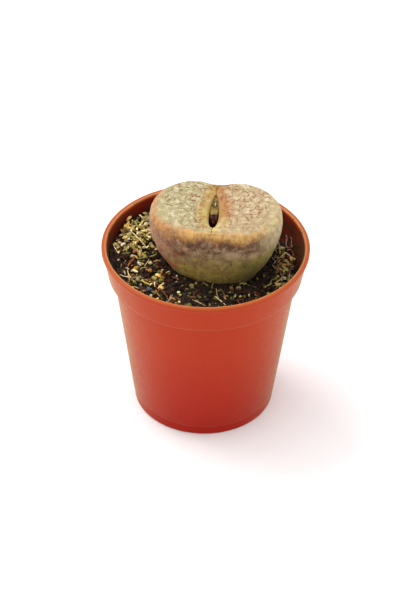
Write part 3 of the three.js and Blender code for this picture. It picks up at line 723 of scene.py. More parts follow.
def mottle_group():
    """Soft blotches of two sizes, used by the skin, the plastic and the mix."""

    def build(graph, outer):
        """Wide and fine noise together, spread around the middle by the contrast."""
        place, scale = outer["Place"], outer["Scale"]
        wide = graph.get("ShaderNodeTexNoise", {"Vector": place, "Scale": scale, "Detail": 3.0})
        fine_scale = graph.times(scale, 4.3)
        fine = graph.get("ShaderNodeTexNoise", {"Vector": place, "Scale": fine_scale, "Detail": 4.0})
        total = graph.math("MULTIPLY_ADD", fine, 0.4, graph.times(wide, 0.6))
        return graph.math("MULTIPLY_ADD", graph.centred(total), outer["Contrast"], 0.5)

    return shader_group("Mottle", {"Scale": 500.0, "Contrast": 1.6}, "Blotches", build)


def speck_group():
    """Small round specks at random places, used by the skin and the plastic."""

    def build(graph, outer):
        """A soft dot in the middle of a share of the cells."""
        sockets = {"Vector": outer["Place"], "Scale": outer["Scale"]}
        cells = graph.add("ShaderNodeTexVoronoi", sockets)
        chosen = graph.split(cells.outputs["Color"])[0]
        kept = graph.math("LESS_THAN", chosen, outer["Share"])
        edge = graph.times(outer["Width"], 0.5)
        dot = graph.ramp(cells.outputs["Distance"], edge, outer["Width"], 1.0, 0.0)
        return graph.times(dot, kept)

    return shader_group("Specks", {"Scale": 1000.0, "Width": 0.3, "Share": 0.3}, "Specks", build)


def group(graph, name, place, **values):
    """The result of a shared shader group in a material."""
    tree = bpy.data.node_groups.get(name) or {"Mottle": mottle_group, "Specks": speck_group}[name]()
    return graph.get("ShaderNodeGroup", {"Place": place, **values}, node_tree=tree)


# Geometry Nodes.


def geometry_tree(name, *labels):
    """The graph of a Geometry Nodes tree with named inputs, and its group input's sockets."""
    tree = bpy.data.node_groups.new(name, "GeometryNodeTree")
    kinds = {"Geometry": "Geometry", **dict.fromkeys(labels, "Float")}
    if "Seed" in kinds:
        kinds["Seed"] = "Int"
    for label, kind in kinds.items():
        tree.interface.new_socket(label, in_out="INPUT", socket_type="NodeSocket" + kind)
    tree.interface.new_socket("Geometry", in_out="OUTPUT", socket_type="NodeSocketGeometry")
    graph = Graph(tree)
    return graph, graph.add("NodeGroupInput").outputs


def finish_tree(graph, geometry, material, smooth=True):
    """Ends a tree in plain, shaded geometry with its material."""
    real = graph.get("GeometryNodeRealizeInstances", {"Geometry": geometry})
    shaded = graph.get("GeometryNodeSetShadeSmooth", {"Geometry": real, "Shade Smooth": smooth})
    coated = graph.get("GeometryNodeSetMaterial", {"Geometry": shaded, "Material": material})
    graph.add("NodeGroupOutput", {"Geometry": coated})
    return graph.tree


def grown(name, mesh, tree, values):
    """The plain mesh that a tree makes of a mesh, as a new piece."""
    carrier = bpy.data.objects.new(name + " carrier", mesh)
    bpy.context.scene.collection.objects.link(carrier)
    modifier = carrier.modifiers.new(name, "NODES")
    modifier.node_group = tree
    for item in tree.interface.items_tree:
        if item.in_out == "INPUT" and item.name in values:
            modifier[item.identifier] = values[item.name]
    graph = bpy.context.evaluated_depsgraph_get()
    result = bpy.data.meshes.new_from_object(
        carrier.evaluated_get(graph), preserve_all_data_layers=True, depsgraph=graph
    )
    bpy.data.objects.remove(carrier)
    result.name = name
    return result


def piece(name, mesh, material, slot, *replaced):
    """Puts a finished mesh in the scene as a piece of the object, with its one material."""
    mesh.name = name.replace("_", " ")
    mesh.materials.clear()
    mesh.materials.append(material)
    made = bpy.data.objects.new(name, mesh)
    bpy.context.scene.collection.objects.link(made)
    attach(made, "root")
    if replaced:
        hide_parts(*replaced)


# The pot.


def wall_radius(pot, height):
    """The outer wall's radius at a height between the foot step and the collar."""
    part = (height - pot.foot_step_height) / (pot.collar_base - pot.foot_step_height)
    return mix(pot.foot_radius + pot.foot_step, pot.wall_top_radius, part)


def inner_foot(pot):
    """The inner wall's radius just over the pot's floor."""
    return wall_radius(pot, pot.foot_step_height) - pot.wall


def inner_corners(pot):
    """The corners of the inner wall as (radius, height): under the collar, in the collar and at the mouth."""
    return [
        (pot.wall_top_radius - pot.wall, pot.collar_base - 0.6 * MM),
        (pot.collar_radius - pot.wall - 0.1 * MM, pot.collar_base + 0.8 * MM),
        (pot.inner_lip_radius, POT_HIGH.z),
    ]


def inner_radius(pot, height):
    """The inner wall's radius at a height above the pot's floor."""
    radii, heights = zip((inner_foot(pot), pot.floor_top + 0.8 * MM), *inner_corners(pot))
    return np.interp(height, heights, radii)


def pot_outline(pot):
    """The pot's section as (radius, height, rounding), from the underside round to the inner floor."""
    core = 0.6 * MM
    lip_base = POT_HIGH.z - pot.lip_height
    under_collar, in_collar, mouth = inner_corners(pot)
    return [
        (core, pot.foot_ring_depth, 0),
        (pot.foot_ring_inner_radius - 0.4 * MM, pot.foot_ring_depth, 0.3 * MM),
        (pot.foot_ring_inner_radius, 0, 0.15 * MM),
        (pot.foot_radius, 0, 0.5 * MM),
        (pot.foot_radius + 0.08 * MM, pot.foot_step_height - 0.25 * MM, 0.12 * MM),
        (pot.foot_radius + pot.foot_step, pot.foot_step_height, 0.12 * MM),
        (pot.wall_top_radius, pot.collar_base, 0.5 * MM),
        (pot.collar_radius, pot.collar_base + 0.25 * MM, 0.55 * MM),
        (POT_HIGH.x - pot.lip_proud, lip_base, 0.2 * MM),
        (POT_HIGH.x, lip_base + 0.05 * MM, 0.3 * MM),
        (POT_HIGH.x, POT_HIGH.z, 0.42 * MM),
        (*mouth, 0.42 * MM),
        (*in_collar, 0.6 * MM),
        (*under_collar, 0.8 * MM),
        (inner_foot(pot), pot.floor_top + 0.4 * MM, 0.7 * MM),
        (inner_foot(pot) - 0.9 * MM, pot.floor_top, 0.5 * MM),
        (core, pot.floor_top, 0),
    ]


def pot_plastic(pot):
    """Satin moulded plastic: deeper towards the foot, a paler lip with a painted highlight, painted shade
    inside, dried mix inside.
    """
    material, graph, shader, place = new_material("pot plastic")
    x, y, z = graph.split(place)
    mouth, top = pot.inner_lip_radius, POT_HIGH.z
    inside = graph.attribute("inside")
    blotches = group(graph, "Mottle", place, Scale=120.0, Contrast=1.8)
    low = graph.ramp(graph.math("MULTIPLY_ADD", blotches, 8 * MM, z), 4 * MM, 46 * MM, 1.0, 0.0)
    # The lip is paler: partly the plastic's own colour, partly a painted highlight on its rounded top.
    lip = graph.times(graph.ramp(z, top - 0.9 * MM, top - 0.15 * MM), 0.7)
    # A painted highlight along the lip's inner top edge.
    highlighted = graph.ramps(
        (graph.across(x, y), mouth + 0.1 * MM, mouth + 0.7 * MM, 1.0, 0.0),
        (z, top - 0.6 * MM, top - 0.2 * MM),
    )
    # Painted shade inside the pot, below the mouth.
    wall = graph.times(inside, graph.ramp(z, top - 1.5 * MM, top - 0.2 * MM, 1.0, 0.0))
    splash = group(graph, "Mottle", place, Scale=420.0, Contrast=3.2)
    splash = graph.ramps((splash, 0.3, 0.75), (z, top - 5.5 * MM, top - 0.5 * MM, 1.0, 0.3))
    specks = group(graph, "Specks", place, Scale=900.0, Width=0.32, Share=0.16)
    dirty = graph.math(
        "MAXIMUM", graph.times(splash, inside), graph.times(specks, graph.ramp(inside, 0.0, 1.0, 0.0, 0.9))
    )
    body = graph.layered(
        pot.plastic,
        (low, pot.low_plastic),
        (lip, pot.lip_plastic),
        (highlighted, pot.lip_edge),
        (wall, pot.shaded_inner_plastic),
        (dirty, pot.dust),
    )
    scuffs = group(graph, "Mottle", place, Scale=900.0, Contrast=1.6)
    rough = graph.ramp(scuffs, 0.2, 0.8, 0.36, 0.5)
    grain = graph.noise(place, 0.22 * MM, 3.0)
    waves = graph.noise(graph.vector("MULTIPLY", place, (1.0, 1.0, 0.15)), 6 * MM, 1.0)
    coat = {
        "Base Color": body,
        "Roughness": graph.math("MAXIMUM", rough, graph.times(dirty, 0.85)),
        "Normal": graph.bump(graph.math("MULTIPLY_ADD", waves, 6.0, grain), 0.02 * MM),
        "Specular IOR Level": 0.22,
        "Sheen Weight": graph.ramp(inside, 0.0, 1.0, 0.27, 0.1),
        "Sheen Roughness": 0.42,
        "Sheen Tint": (0.3, 1.0, 0.5),
    }
    graph.feed(shader, coat)
    return material


class STONE_OT_pot(bpy.types.Operator):
    """Turns the nursery pot with its foot ring, drain holes, collar and rolled lip"""

    bl_idname = "stone.pot"
    bl_label = "Nursery Pot"

    def execute(self, context):
        pot = context.scene.stone_pot
        outline = divided(rounded(pot_outline(pot)), longest=1.6 * MM)
        angles = circle(pot.sides)
        mesh = ring_mesh("pot shell", np.stack([level_ring(angles, r, z) for r, z in outline]))
        mesh.set_sharp_from_angle(angle=math.radians(40))
        past_lip = np.arange(len(outline)) > np.argmax(outline[:, 1])
        inner = past_lip & (outline[:, 0] < pot.inner_lip_radius + 0.2 * MM)
        store(mesh, "inside", np.append(np.repeat(inner, pot.sides), [False, True]))
        drilled = bpy.data.objects.new("pot shell", mesh)
        drills = bpy.data.objects.new("drills", self.drills(pot))
        for made in (drilled, drills):
            context.scene.collection.objects.link(made)
        modifier = drilled.modifiers.new("drain holes", "BOOLEAN")
        modifier.operation = "DIFFERENCE"
        modifier.solver = "EXACT"
        modifier.object = drills
        graph = context.evaluated_depsgraph_get()
        mesh = bpy.data.meshes.new_from_object(drilled.evaluated_get(graph), depsgraph=graph)
        for made in (drilled, drills):
            bpy.data.objects.remove(made)
        piece("nursery_pot", mesh, pot_plastic(pot), "pot_plastic", "pot")
        return {"FINISHED"}

    def drills(self, pot):
        """Upright cylinders through the floor, one for each drain hole."""
        sides = 40
        angles = circle(sides)
        points, faces = [], []
        for k in range(pot.drain_holes):
            middle = (k + 0.5) / pot.drain_holes * TURN
            aside = pot.drain_circle * np.array([math.cos(middle), math.sin(middle), 0])
            low = len(points)
            high = low + sides
            for z in (0.2 * MM, 2 * pot.floor_top):
                points += (level_ring(angles, pot.drain_radius, z) + aside).tolist()
            for i in range(sides):
                j = (i + 1) % sides
                faces.append((low + i, low + j, high + j, high + i))
            faces.append([low + i for i in reversed(range(sides))])
            faces.append([high + i for i in range(sides)])
        mesh = bpy.data.meshes.new("drills")
        mesh.from_pydata(points, [], faces)
        return mesh


# The leaf pair.


def to_pot(plant, points):
    """Points of the plant's own frame turned and moved to its place in the pot."""
    turn = np.array(Matrix.Rotation(plant.turn, 3, "Z"))
    return points @ turn.T + np.array([plant.x, plant.y, 0])


def head_ring(plant, angles, part, height, grow=0.0):
    """The head's outline at a share of its shoulder and at a height, with its dents and its fuller left."""
    power = 2 / plant.squareness
    cos, sin = np.cos(angles), np.sin(angles)
    dent = np.where(sin > 0, plant.back_dent, plant.front_dent)
    dent = dent * ramp(height, plant.dent_foot, plant.top) * bell(cos, plant.dent_spread)
    part = part - plant.left_tuck * ramp(-cos, 0, 1) * bell(height - plant.left_tuck_height, 4 * MM)
    depth = np.where(sin > 0, plant.back_depth, plant.front_depth)
    x = np.sign(cos) * np.abs(cos) ** power * plant.half_width * part
    y = np.sign(sin) * (np.abs(sin) ** power * depth * part - dent)
    scale = 1 + grow / np.hypot(x, y)
    rise = plant.left_rise * ramp(-cos, -0.2, 0.6) * ramp(height, 50 * MM, plant.top)
    return np.stack([x * scale, y * scale, height + rise], axis=1)


def fissure_half_width(plant, y):
    """Half the fissure's width along it: a closed slit that opens into an almond-shaped gape."""
    front = (y - plant.gape_widest) / (plant.gape_front - plant.gape_widest)
    back = (y - plant.gape_widest) / (plant.gape_back - plant.gape_widest)
    opened = np.where(y < plant.gape_widest, front, back)
    power = np.where(y < plant.gape_widest, 0.5, 0.75)
    return plant.slit_half_width + plant.gape_half_width * np.maximum(0, 1 - opened**2) ** power


def fissure_middle(plant, y):
    """How far the fissure's middle line lies to the right along it."""
    return plant.fissure_aside + plant.fissure_lean * y


def fissure_ring(plant, angles, widen, front, back, height):
    """The fissure's outline at a height."""
    cos, sin = np.cos(angles), np.sin(angles)
    y = mix(front, back, (sin + 1) / 2)
    x = np.sign(cos) * fissure_half_width(plant, y) * widen * np.minimum(1, np.abs(cos) * 3)
    x += fissure_middle(plant, y)
    return np.stack([x, y, np.full(len(angles), height)], axis=1)


def head_controls(plant, angles):
    """The control rings of the leaf pair, from its foot over the faces into the fissure."""
    rings = [head_ring(plant, angles, part, z * MM) for part, z in FLANK]
    edge_part, edge_z = FLANK[-1][0], FLANK[-1][1] * MM
    lip_z = edge_z - 0.15 * MM
    outer = head_ring(plant, angles, edge_part, edge_z)
    inner = fissure_ring(plant, angles, 1 + plant.lip_roll, plant.fissure_front, plant.fissure_back, lip_z)
    for inward in (0.18, 0.42, 0.66, 0.84, 0.94):
        face = mix(outer, inner, inward)
        face[:, 2] += plant.lobe_rise * 4 * inward * (1 - inward)
        rings.append(face)
    deep = [
        (1.12, 0, lip_z - 0.25 * MM),
        (1, 0.06, lip_z - MM),
        (0.97, 0.5, mix(lip_z, plant.fissure_floor, 0.5)),
        (plant.floor_width, 1, plant.fissure_floor),
    ]
    for widen, inset, z in deep:
        front = mix(plant.fissure_front, plant.floor_front, inset)
        back = mix(plant.fissure_back, plant.floor_back, inset)
        rings.append(fissure_ring(plant, angles, widen, front, back, z))
    return rings


def strokes(graph, place, spacing, reach, width, kept):
    """Short strokes at random turns, one to a cell of about the spacing, in a share of the cells."""
    sockets = {"Vector": place, "Scale": 1 / spacing, "Randomness": 0.85}
    cells = graph.add("ShaderNodeTexVoronoi", sockets, voronoi_dimensions="2D")
    turn, chance, size = graph.split(cells.outputs["Color"])
    arm = graph.vector("SUBTRACT", place, cells.outputs["Position"])
    sockets = {"Vector": arm, "Angle": graph.times(turn, TURN)}
    along, across, _ = graph.split(graph.get("ShaderNodeVectorRotate", sockets, rotation_type="Z_AXIS"))
    line = graph.ramp(graph.math("ABSOLUTE", across), 0.0, 0.5 * width, 1.0, 0.0)
    past_end = graph.math("MULTIPLY_ADD", size, -0.35 * reach, graph.math("ABSOLUTE", along))
    ends = graph.ramp(past_end, 0.05 * reach, 0.22 * reach, 1.0, 0.0)
    return graph.times(line, ends, graph.math("LESS_THAN", chance, kept))


def face_marks(graph, place, plant, crowd):
    """The marks on the faces: short strokes of two sizes and some broken lines that join them."""
    spacing, width = plant.mark_spacing, plant.mark_width
    bent = graph.bend(graph.bend(place, 0.5 * spacing, 0.5 * spacing), 0.2 * spacing, 0.2 * spacing)
    crowd = graph.times(crowd, graph.ramp(graph.noise(place, 2 * spacing, 1.0), 0.35, 0.55, 0.5, 1.15))
    long = strokes(graph, bent, spacing, 1.35 * spacing, width, crowd)
    aside = graph.vector("ADD", bent, (0.1, 0.2, 0.0))
    short = strokes(graph, aside, 0.6 * spacing, 0.6 * spacing, 0.8 * width, graph.times(crowd, 0.6))
    edge = graph.cells(bent, 1.25 * spacing, dimensions="2D")
    joined = graph.ramp(edge, 0.1 * width / spacing, 0.45 * width / spacing, 1.0, 0.0)
    broken = graph.ramp(graph.noise(place, 0.8 * spacing), 0.5, 0.6)
    strong = graph.math("MAXIMUM", long, graph.times(short, 0.7))
    return graph.math("MAXIMUM", strong, graph.times(joined, broken, crowd))


def skin_tree(plant, material):
    """Cuts the marks into the faces and gives the skin its soft unevenness."""
    graph, outer = geometry_tree("leaf skin relief", "Mark depth", "Unevenness")
    place = graph.position()
    marks = face_marks(graph, place, plant, graph.named("crowd"))
    cut = graph.times(marks, graph.named("face"), outer["Mark depth"], -1.0)
    swell = graph.centred(graph.noise(place, 4.5 * MM))
    ripple = graph.centred(graph.noise(graph.vector("MULTIPLY", place, (1.0, 1.0, 0.45)), 1.3 * MM))
    uneven = graph.math("MULTIPLY_ADD", ripple, 0.25, swell)
    uneven = graph.times(uneven, outer["Unevenness"], graph.named("skin"))
    push = graph.scaled(graph.get("GeometryNodeInputNormal"), graph.math("ADD", cut, uneven))
    return finish_tree(graph, graph.moved(outer["Geometry"], Offset=push), material)


def face_colours(plant, graph, place, x, y, lip, small):
    """The two faces: khaki and beige, with their marks, and the stains beside the fissure.

    The distances x, y and lip are in mm."""
    wide = graph.noise(place, 4.2 * MM)
    right = graph.ramp(graph.math("MULTIPLY_ADD", wide, 6, x), -2, 8)
    isles = graph.ramp(graph.noise(place, 1.4 * MM, shift=(0.2, 0.1, 0.5)), 0.44, 0.66, 0.0, 0.5)
    shade = graph.ramp(graph.noise(place, 1.7 * MM, 4.0, 0.65), 0.48, 0.7, 0.0, 0.65)

    side = graph.ramp(graph.math("ADD", wide, x), 0.1, 0.9)
    pale_lip = graph.blend(graph.ramp(y, -2, 5, 0.0, 0.5), plant.left_lip, plant.stain)
    strong_lip = graph.blend(graph.ramp(y, -7, -2), plant.left_lip, plant.stain)
    lips = graph.ramps(
        (graph.math("MULTIPLY_ADD", graph.centred(small), 1.2, lip), 0.4, 3.2, 1.0, 0.0),
        (y, -9, -1, 0.45, 0.85),
        (graph.noise(place, 1.0 * MM, 3.0), 0.38, 0.6, 0.5, 1.0),
    )
    rusty = graph.ramps(
        (graph.noise(place, 1.3 * MM, 3.0, shift=(0.2, 0.3, 0.1)), 0.54, 0.66, 0.0, 0.6),
        (lip, 1, 4.5, 1.0, 0.0),
    )

    on_face = graph.attribute("face")
    olive = graph.ramps((graph.noise(place, 1.9 * MM, 1.0), 0.42, 0.6), (x, -10, 6, 1.0, 0.6))
    lines = face_marks(graph, place, plant, graph.attribute("crowd"))
    strength = graph.ramp(graph.noise(place, 0.8 * MM, 3.0, 0.6), 0.32, 0.6, 0.45, 1.0)
    dots = group(graph, "Specks", place, Scale=1500.0, Width=0.34, Share=0.3)
    return graph.layered(
        plant.left_face,
        (right, plant.right_face),
        (isles, plant.pale_island),
        (shade, plant.dull_island),
        (lips, graph.blend(side, pale_lip, strong_lip)),
        (rusty, plant.stain),
        (graph.times(lines, strength, on_face), graph.blend(olive, plant.rust_mark, plant.olive_mark)),
        (graph.times(dots, on_face, 0.4), plant.rust_mark),
    )


def flank_colours(plant, graph, place, x, edge):
    """The flank: ochre on the shoulder, mauve under it, then grey-beige, tan and green towards the mix.

    The distances x and edge are in mm. Returns the colour and the uneven distance from the shoulder."""
    cloud = graph.times(
        graph.centred(graph.noise(place, 3.0 * MM, 4.0, 0.62)), graph.ramp(edge, -6, -2, 0.9, 0.3)
    )
    grain = graph.centred(graph.noise(place, 0.6 * MM, 3.0, 0.7))
    soft = graph.centred(graph.noise(place, 4.2 * MM, 1.0))
    uneven = graph.math("MULTIPLY_ADD", grain, 0.28, cloud)
    uneven = graph.math("MULTIPLY_ADD", soft, 0.85, uneven)
    level = graph.math("MULTIPLY_ADD", uneven, graph.ramp(edge, -8, 0, 10, 3.2), edge)
    # The lowest bands near the mix are painted lighter to make up for the shade under the overhang.
    bands = [
        (-17, plant.flank_low),
        (-13, plant.flank_low),
        (-10, plant.flank_tan),
        (-7, plant.flank_mid),
        (-5.1, plant.flank_high),
        (-2.9, plant.flank_high),
        (-1.6, plant.shoulder_low),
        (-0.5, plant.shoulder),
        (0.5, plant.shoulder),
        (2.4, plant.right_face),
    ]

    left_high = graph.ramps((x, -5, -12, 0.0, 0.8), (edge, -4.5, -1), (edge, 1, 4, 1.0, 0.0))
    # Lighter sides: partly the skin's own hue, partly painted light falling on the sides.
    left = graph.ramps((x, -7, -14.5, 0.0, 0.85), (edge, -6, -1, 1.0, 0.1))
    right = graph.ramps((x, 9.5, 15.5, 0.0, 0.8), (edge, -9, -5))
    right_low = graph.ramps((x, 2, 10, 0.0, 0.85), (edge, -4.5, -9.5))
    patches = graph.ramps(
        (edge, -9.5, -6.5),
        (edge, -4.2, -2.8, 1.0, 0.0),
        (graph.noise(place, 2.6 * MM, 4.0, 0.6, (0.5, 0.2, 0.4)), 0.5, 0.64, 0.0, 0.75),
    )
    reds = graph.ramps(
        (x, 0, -8),
        (edge, -10, -3, 1.0, 0.2),
        (graph.noise(place, 1.8 * MM, 4.0, 0.65, (0.3, 0.1, 0.2)), 0.5, 0.66, 0.0, 0.75),
    )
    drawn = graph.vector("MULTIPLY", place, (1.0, 1.0, 0.7))
    veil = graph.ramp(graph.noise(drawn, 1.4 * MM, 5.0, 0.75), 0.38, 0.6, 0.42, 0.0)
    wisps = graph.ramps(
        (graph.noise(drawn, 1.1 * MM, 5.0, 0.7, (0.1, 0.4, 0.2)), 0.48, 0.68),
        (edge, 0, -3, 0.35, 0.5),
    )
    freckles = graph.times(group(graph, "Specks", place, Scale=900.0, Width=0.36, Share=0.16), 0.5)
    flank = graph.layered(
        graph.bands(level, bands),
        (left_high, plant.shoulder_low),
        (left, plant.left_flank),
        (right, plant.right_flank),
        (right_low, plant.flank_green),
        (patches, plant.flank_pale),
        (reds, plant.flank_red),
        (veil, plant.dull_mark),
        (wisps, plant.flank_pale),
        (freckles, plant.dull_mark),
    )
    return flank, level


def head_place(plant, graph, place):
    """The object's coordinates in the head's own frame."""
    back_turn = Matrix.Rotation(-plant.turn, 3, "Z")
    shift = -(back_turn @ Vector((plant.x, plant.y, 0)))
    sockets = {"Vector": place, "Location": shift, "Rotation": (0, 0, -plant.turn)}
    return graph.get("ShaderNodeMapping", sockets)


def stained(graph, skin, place, plant, stains):
    """A skin colour with its stains laid over it."""
    for middle, sizes, strength, name in stains.values():
        away = graph.vector("SUBTRACT", place, Vector(middle) * MM)
        away = graph.vector("DIVIDE", away, Vector(sizes) * MM)
        away = graph.add("ShaderNodeVectorMath", {0: away}, operation="LENGTH").outputs["Value"]
        skin = graph.blend(graph.ramp(away, 0.35, 1.15, strength, 0.0), skin, getattr(plant, name))
    return skin


def leaf_skin(plant):
    """Waxy leaf skin: marked faces, a stained fissure, an ochre shoulder and a mottled flank."""
    material, graph, shader, place = new_material("leaf skin")
    own = head_place(plant, graph, place)
    x, y, _ = graph.split(graph.scaled(own, 1 / MM))
    edge = graph.times(graph.attribute("from_edge"), 1 / MM)
    lip = graph.times(graph.attribute("from_lip"), 1 / MM)
    small = group(graph, "Mottle", place, Scale=700.0, Contrast=2.2)

    face = face_colours(plant, graph, place, x, y, lip, small)
    flank, level = flank_colours(plant, graph, place, x, edge)
    skin = graph.blend(graph.ramp(level, 0, 3), flank, face)
    skin = stained(graph, skin, graph.bend(own, 1.1 * MM, 1.3 * MM), plant, STAINS)
    # Darker deeper into the fissure: painted shade of the recess.
    fissure_shade_stops = [(-6, plant.fissure_deep), (-3.2, plant.fissure_deep), (-0.9, plant.fissure_wall)]
    skin = graph.blend(graph.ramp(lip, -0.5, -1.3), skin, graph.bands(lip, fissure_shade_stops))
    pores = graph.noise(place, 0.16 * MM, 3.0)
    coat = {
        "Base Color": skin,
        "Roughness": graph.ramp(small, 0.2, 0.8, 0.5, 0.64),
        "Normal": graph.bump(graph.math("MULTIPLY_ADD", small, 2.0, pores), 0.03 * MM),
        "Subsurface Weight": 0.18,
        "Subsurface Radius": (1.0, 0.62, 0.34),
        "Subsurface Scale": 1.2 * MM,
        "Sheen Weight": 0.12,
        "Sheen Roughness": 0.4,
    }
    graph.feed(shader, coat)
    return material


class STONE_OT_leaf_pair(bpy.types.Operator):
    """Shapes the fused leaf pair with its dents, swollen faces and open fissure"""

    bl_idname = "stone.leaf_pair"
    bl_label = "Leaf Pair"

    def execute(self, context):
        plant = context.scene.stone_plant
        controls = head_controls(plant, circle(HEAD_SIDES))
        rings = spline_rings(controls, FLANK_STEPS + FACE_STEPS + FISSURE_STEPS)
        mesh = ring_mesh("leaf pair", to_pot(plant, rings))
        for name, (values, foot, floor) in self.zones(rings).items():
            store(mesh, name, np.append(values, [foot, floor]))
        skin = leaf_skin(plant)
        values = {"Mark depth": plant.mark_depth, "Unevenness": plant.unevenness}
        mesh = grown("leaf pair skin", mesh, skin_tree(plant, skin), values)
        piece("leaf_pair_skin", mesh, skin, "leaf_skin", "leaf_pair")
        return {"FINISHED"}

    def zones(self, rings):
        """Distances and shares for all points of the rings, for the foot's and for the floor's middle."""
        shoulder = sum(FLANK_STEPS)
        lip = shoulder + sum(FACE_STEPS)
        x, y, z = np.moveaxis(rings, 2, 0)
        steps = np.linalg.norm(np.diff(rings, axis=0), axis=2)
        travelled = np.concatenate([np.zeros((1, rings.shape[1])), np.cumsum(steps, axis=0)])
        from_edge = travelled - travelled[shoulder]
        from_edge[shoulder:] = np.minimum(nearest(rings[shoulder:], rings[shoulder]), 12 * MM)
        # The faces reach further out at the sides and at the back.
        sides = 0.8 * ramp(np.abs(x), 4 * MM, 12 * MM)
        from_edge += np.maximum(sides, 2.6 * ramp(y, 2 * MM, 9 * MM)) * MM
        from_lip = travelled[lip] - travelled
        from_lip[:lip] = nearest(rings[:lip], rings[lip])
        face = ramp(from_edge, 1.0 * MM, 3.4 * MM) * ramp(from_lip, 0.2 * MM, 0.9 * MM)
        crowd = 0.62 + 0.15 * ramp(from_lip, 6 * MM, 1.5 * MM) + 0.2 * ramp(y, 0, 9 * MM)
        number = np.arange(len(rings))[:, None]
        skin = ramp(number, lip + 6, lip) * ramp(z, 40 * MM, 44 * MM)
        return {
            "from_edge": (from_edge, -20 * MM, 12 * MM),
            "from_lip": (from_lip, 20 * MM, -6 * MM),
            "face": (face, 0, 0),
            "crowd": (crowd, 0, 0),
            "skin": (skin, 0, 0),
        }


def soft_material(name, body, dark, size, roughness, finish=None, more=None):
    """A plain living or dry surface: two tones in blotches with a fine relief."""
    material, graph, shader, place = new_material(name)
    blotches = group(graph, "Mottle", place, Scale=1 / size, Contrast=2.2)
    skin = graph.blend(graph.ramp(blotches, 0.3, 0.75), dark, body)
    coat = {
        "Base Color": finish(graph, skin, place) if finish else skin,
        "Roughness": graph.ramp(blotches, 0.2, 0.8, roughness - 0.1, roughness + 0.1),
        "Normal": graph.bump(graph.noise(place, 0.25 * size, 4.0), 0.1 * size, 0.6),
    }
    graph.feed(shader, {**coat, **(more or {})})
    return material


class STONE_OT_fissure(bpy.types.Operator):
    """Makes the young leaf pair and the dry flower stub that stand in the fissure"""

    bl_idname = "stone.fissure"
    bl_label = "Young Leaves and Dry Flower"

    def execute(self, context):
        plant = context.scene.stone_plant

        def glinting(graph, skin, place):
            """A skin with the painted glints and highlights on it."""
            own = graph.bend(head_place(plant, graph, place), 0.5 * MM, 0.4 * MM)
            return stained(graph, skin, own, plant, GLINTS)

        young = soft_material(
            "young leaf",
            plant.young_leaf,
            plant.fissure_deep,
            size=3 * MM,
            roughness=0.3,
            finish=glinting,
            more={"Subsurface Weight": 0.15, "Subsurface Scale": 1 * MM},
        )
        rings = spline_rings(self.young_controls(plant), YOUNG_STEPS)
        mesh = ring_mesh("young leaves", to_pot(plant, rings))
        piece("young_leaves", mesh, young, "young_leaf", "young_leaf_pair")

        dry = soft_material(
            "dry flower",
            plant.dry_flower,
            plant.dark_flower,
            size=0.9 * MM,
            roughness=0.4,
            finish=glinting,
            more={"Specular IOR Level": 0.3},
        )
        rings = spline_rings(self.stub_controls(plant), STUB_STEPS)
        mesh = ring_mesh("dry flower", to_pot(plant, rings))
        piece("dry_flower_stub", mesh, dry, "dry_flower", "flower_stub")
        return {"FINISHED"}

    def young_controls(self, plant):
        """Rings given by their share of the pair's length, of its height and of the fissure's width."""
        levels = [(1, 0, 0.95), (1, 0.45, 0.965), (1, 0.82, 1.02), (1, 0.94, 1.14)]
        levels += [(0.86, 1, 1.12), (0.5, 1, 1), (0.06, 0.98, 1)]
        angles = circle(YOUNG_SIDES)
        cos = np.cos(angles)
        middle = (plant.young_front + plant.young_back) / 2
        controls = []
        for part, rise, widen in levels:
            y = mix(plant.young_front, plant.young_back, (part * np.sin(angles) + 1) / 2)
            half = fissure_half_width(plant, y) * widen - plant.young_gap
            x = np.sign(cos) * np.abs(cos) ** 0.4 * half * part + fissure_middle(plant, y)
            cleft = plant.young_cleft * rise**2 * bell(y - middle, 0.4 * MM)
            z = plant.fissure_floor + plant.young_height * rise - cleft
            controls.append(np.stack([x, y, z], axis=1))
        return controls

    def stub_controls(self, plant):
        """Rings given by their share of the stub's radius and of its height, with five soft ridges."""
        levels = [(0.5, 0), (0.42, 0.3), (0.8, 0.5), (1, 0.7)]
        levels += [(0.9, 0.9), (0.62, 1), (0.34, 0.93), (0.06, 0.88)]
        angles = circle(STUB_SIDES)
        place = [fissure_middle(plant, plant.stub_y), plant.stub_y, plant.fissure_floor]
        controls = []
        for part, rise in levels:
            radius = plant.stub_radius * part * (1 - 0.1 * part * rise * np.cos(5 * angles))
            controls.append(level_ring(angles, radius, plant.stub_height * rise) + place)
        return controls


class STONE_OT_root(bpy.types.Operator):
    """Dresses the buried taproot and its side roots"""

    bl_idname = "stone.root"
    bl_label = "Taproot"

    def execute(self, context):
        plant = context.scene.stone_plant
        cork = soft_material("root cork", plant.root, plant.dark_root, size=1.2 * MM, roughness=0.8)
        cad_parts["taproot"].material_slots[0].material = cork
        return {"FINISHED"}


# The potting mix.


def mix_height(soil, x, y):
    """The broad height of the mix's surface: a slope with crossing waves of a few mm."""
    x, y = x / MM, y / MM
    bumps = (
        np.sin(0.55 * x + 1.3) * np.cos(0.48 * y - 0.4)
        + 0.6 * np.sin(1.1 * x - 0.9 * y)
        + 0.4 * np.cos(1.7 * y + 0.8 * x)
    )
    return soil.level + soil.slope * x * MM + soil.bump * bumps


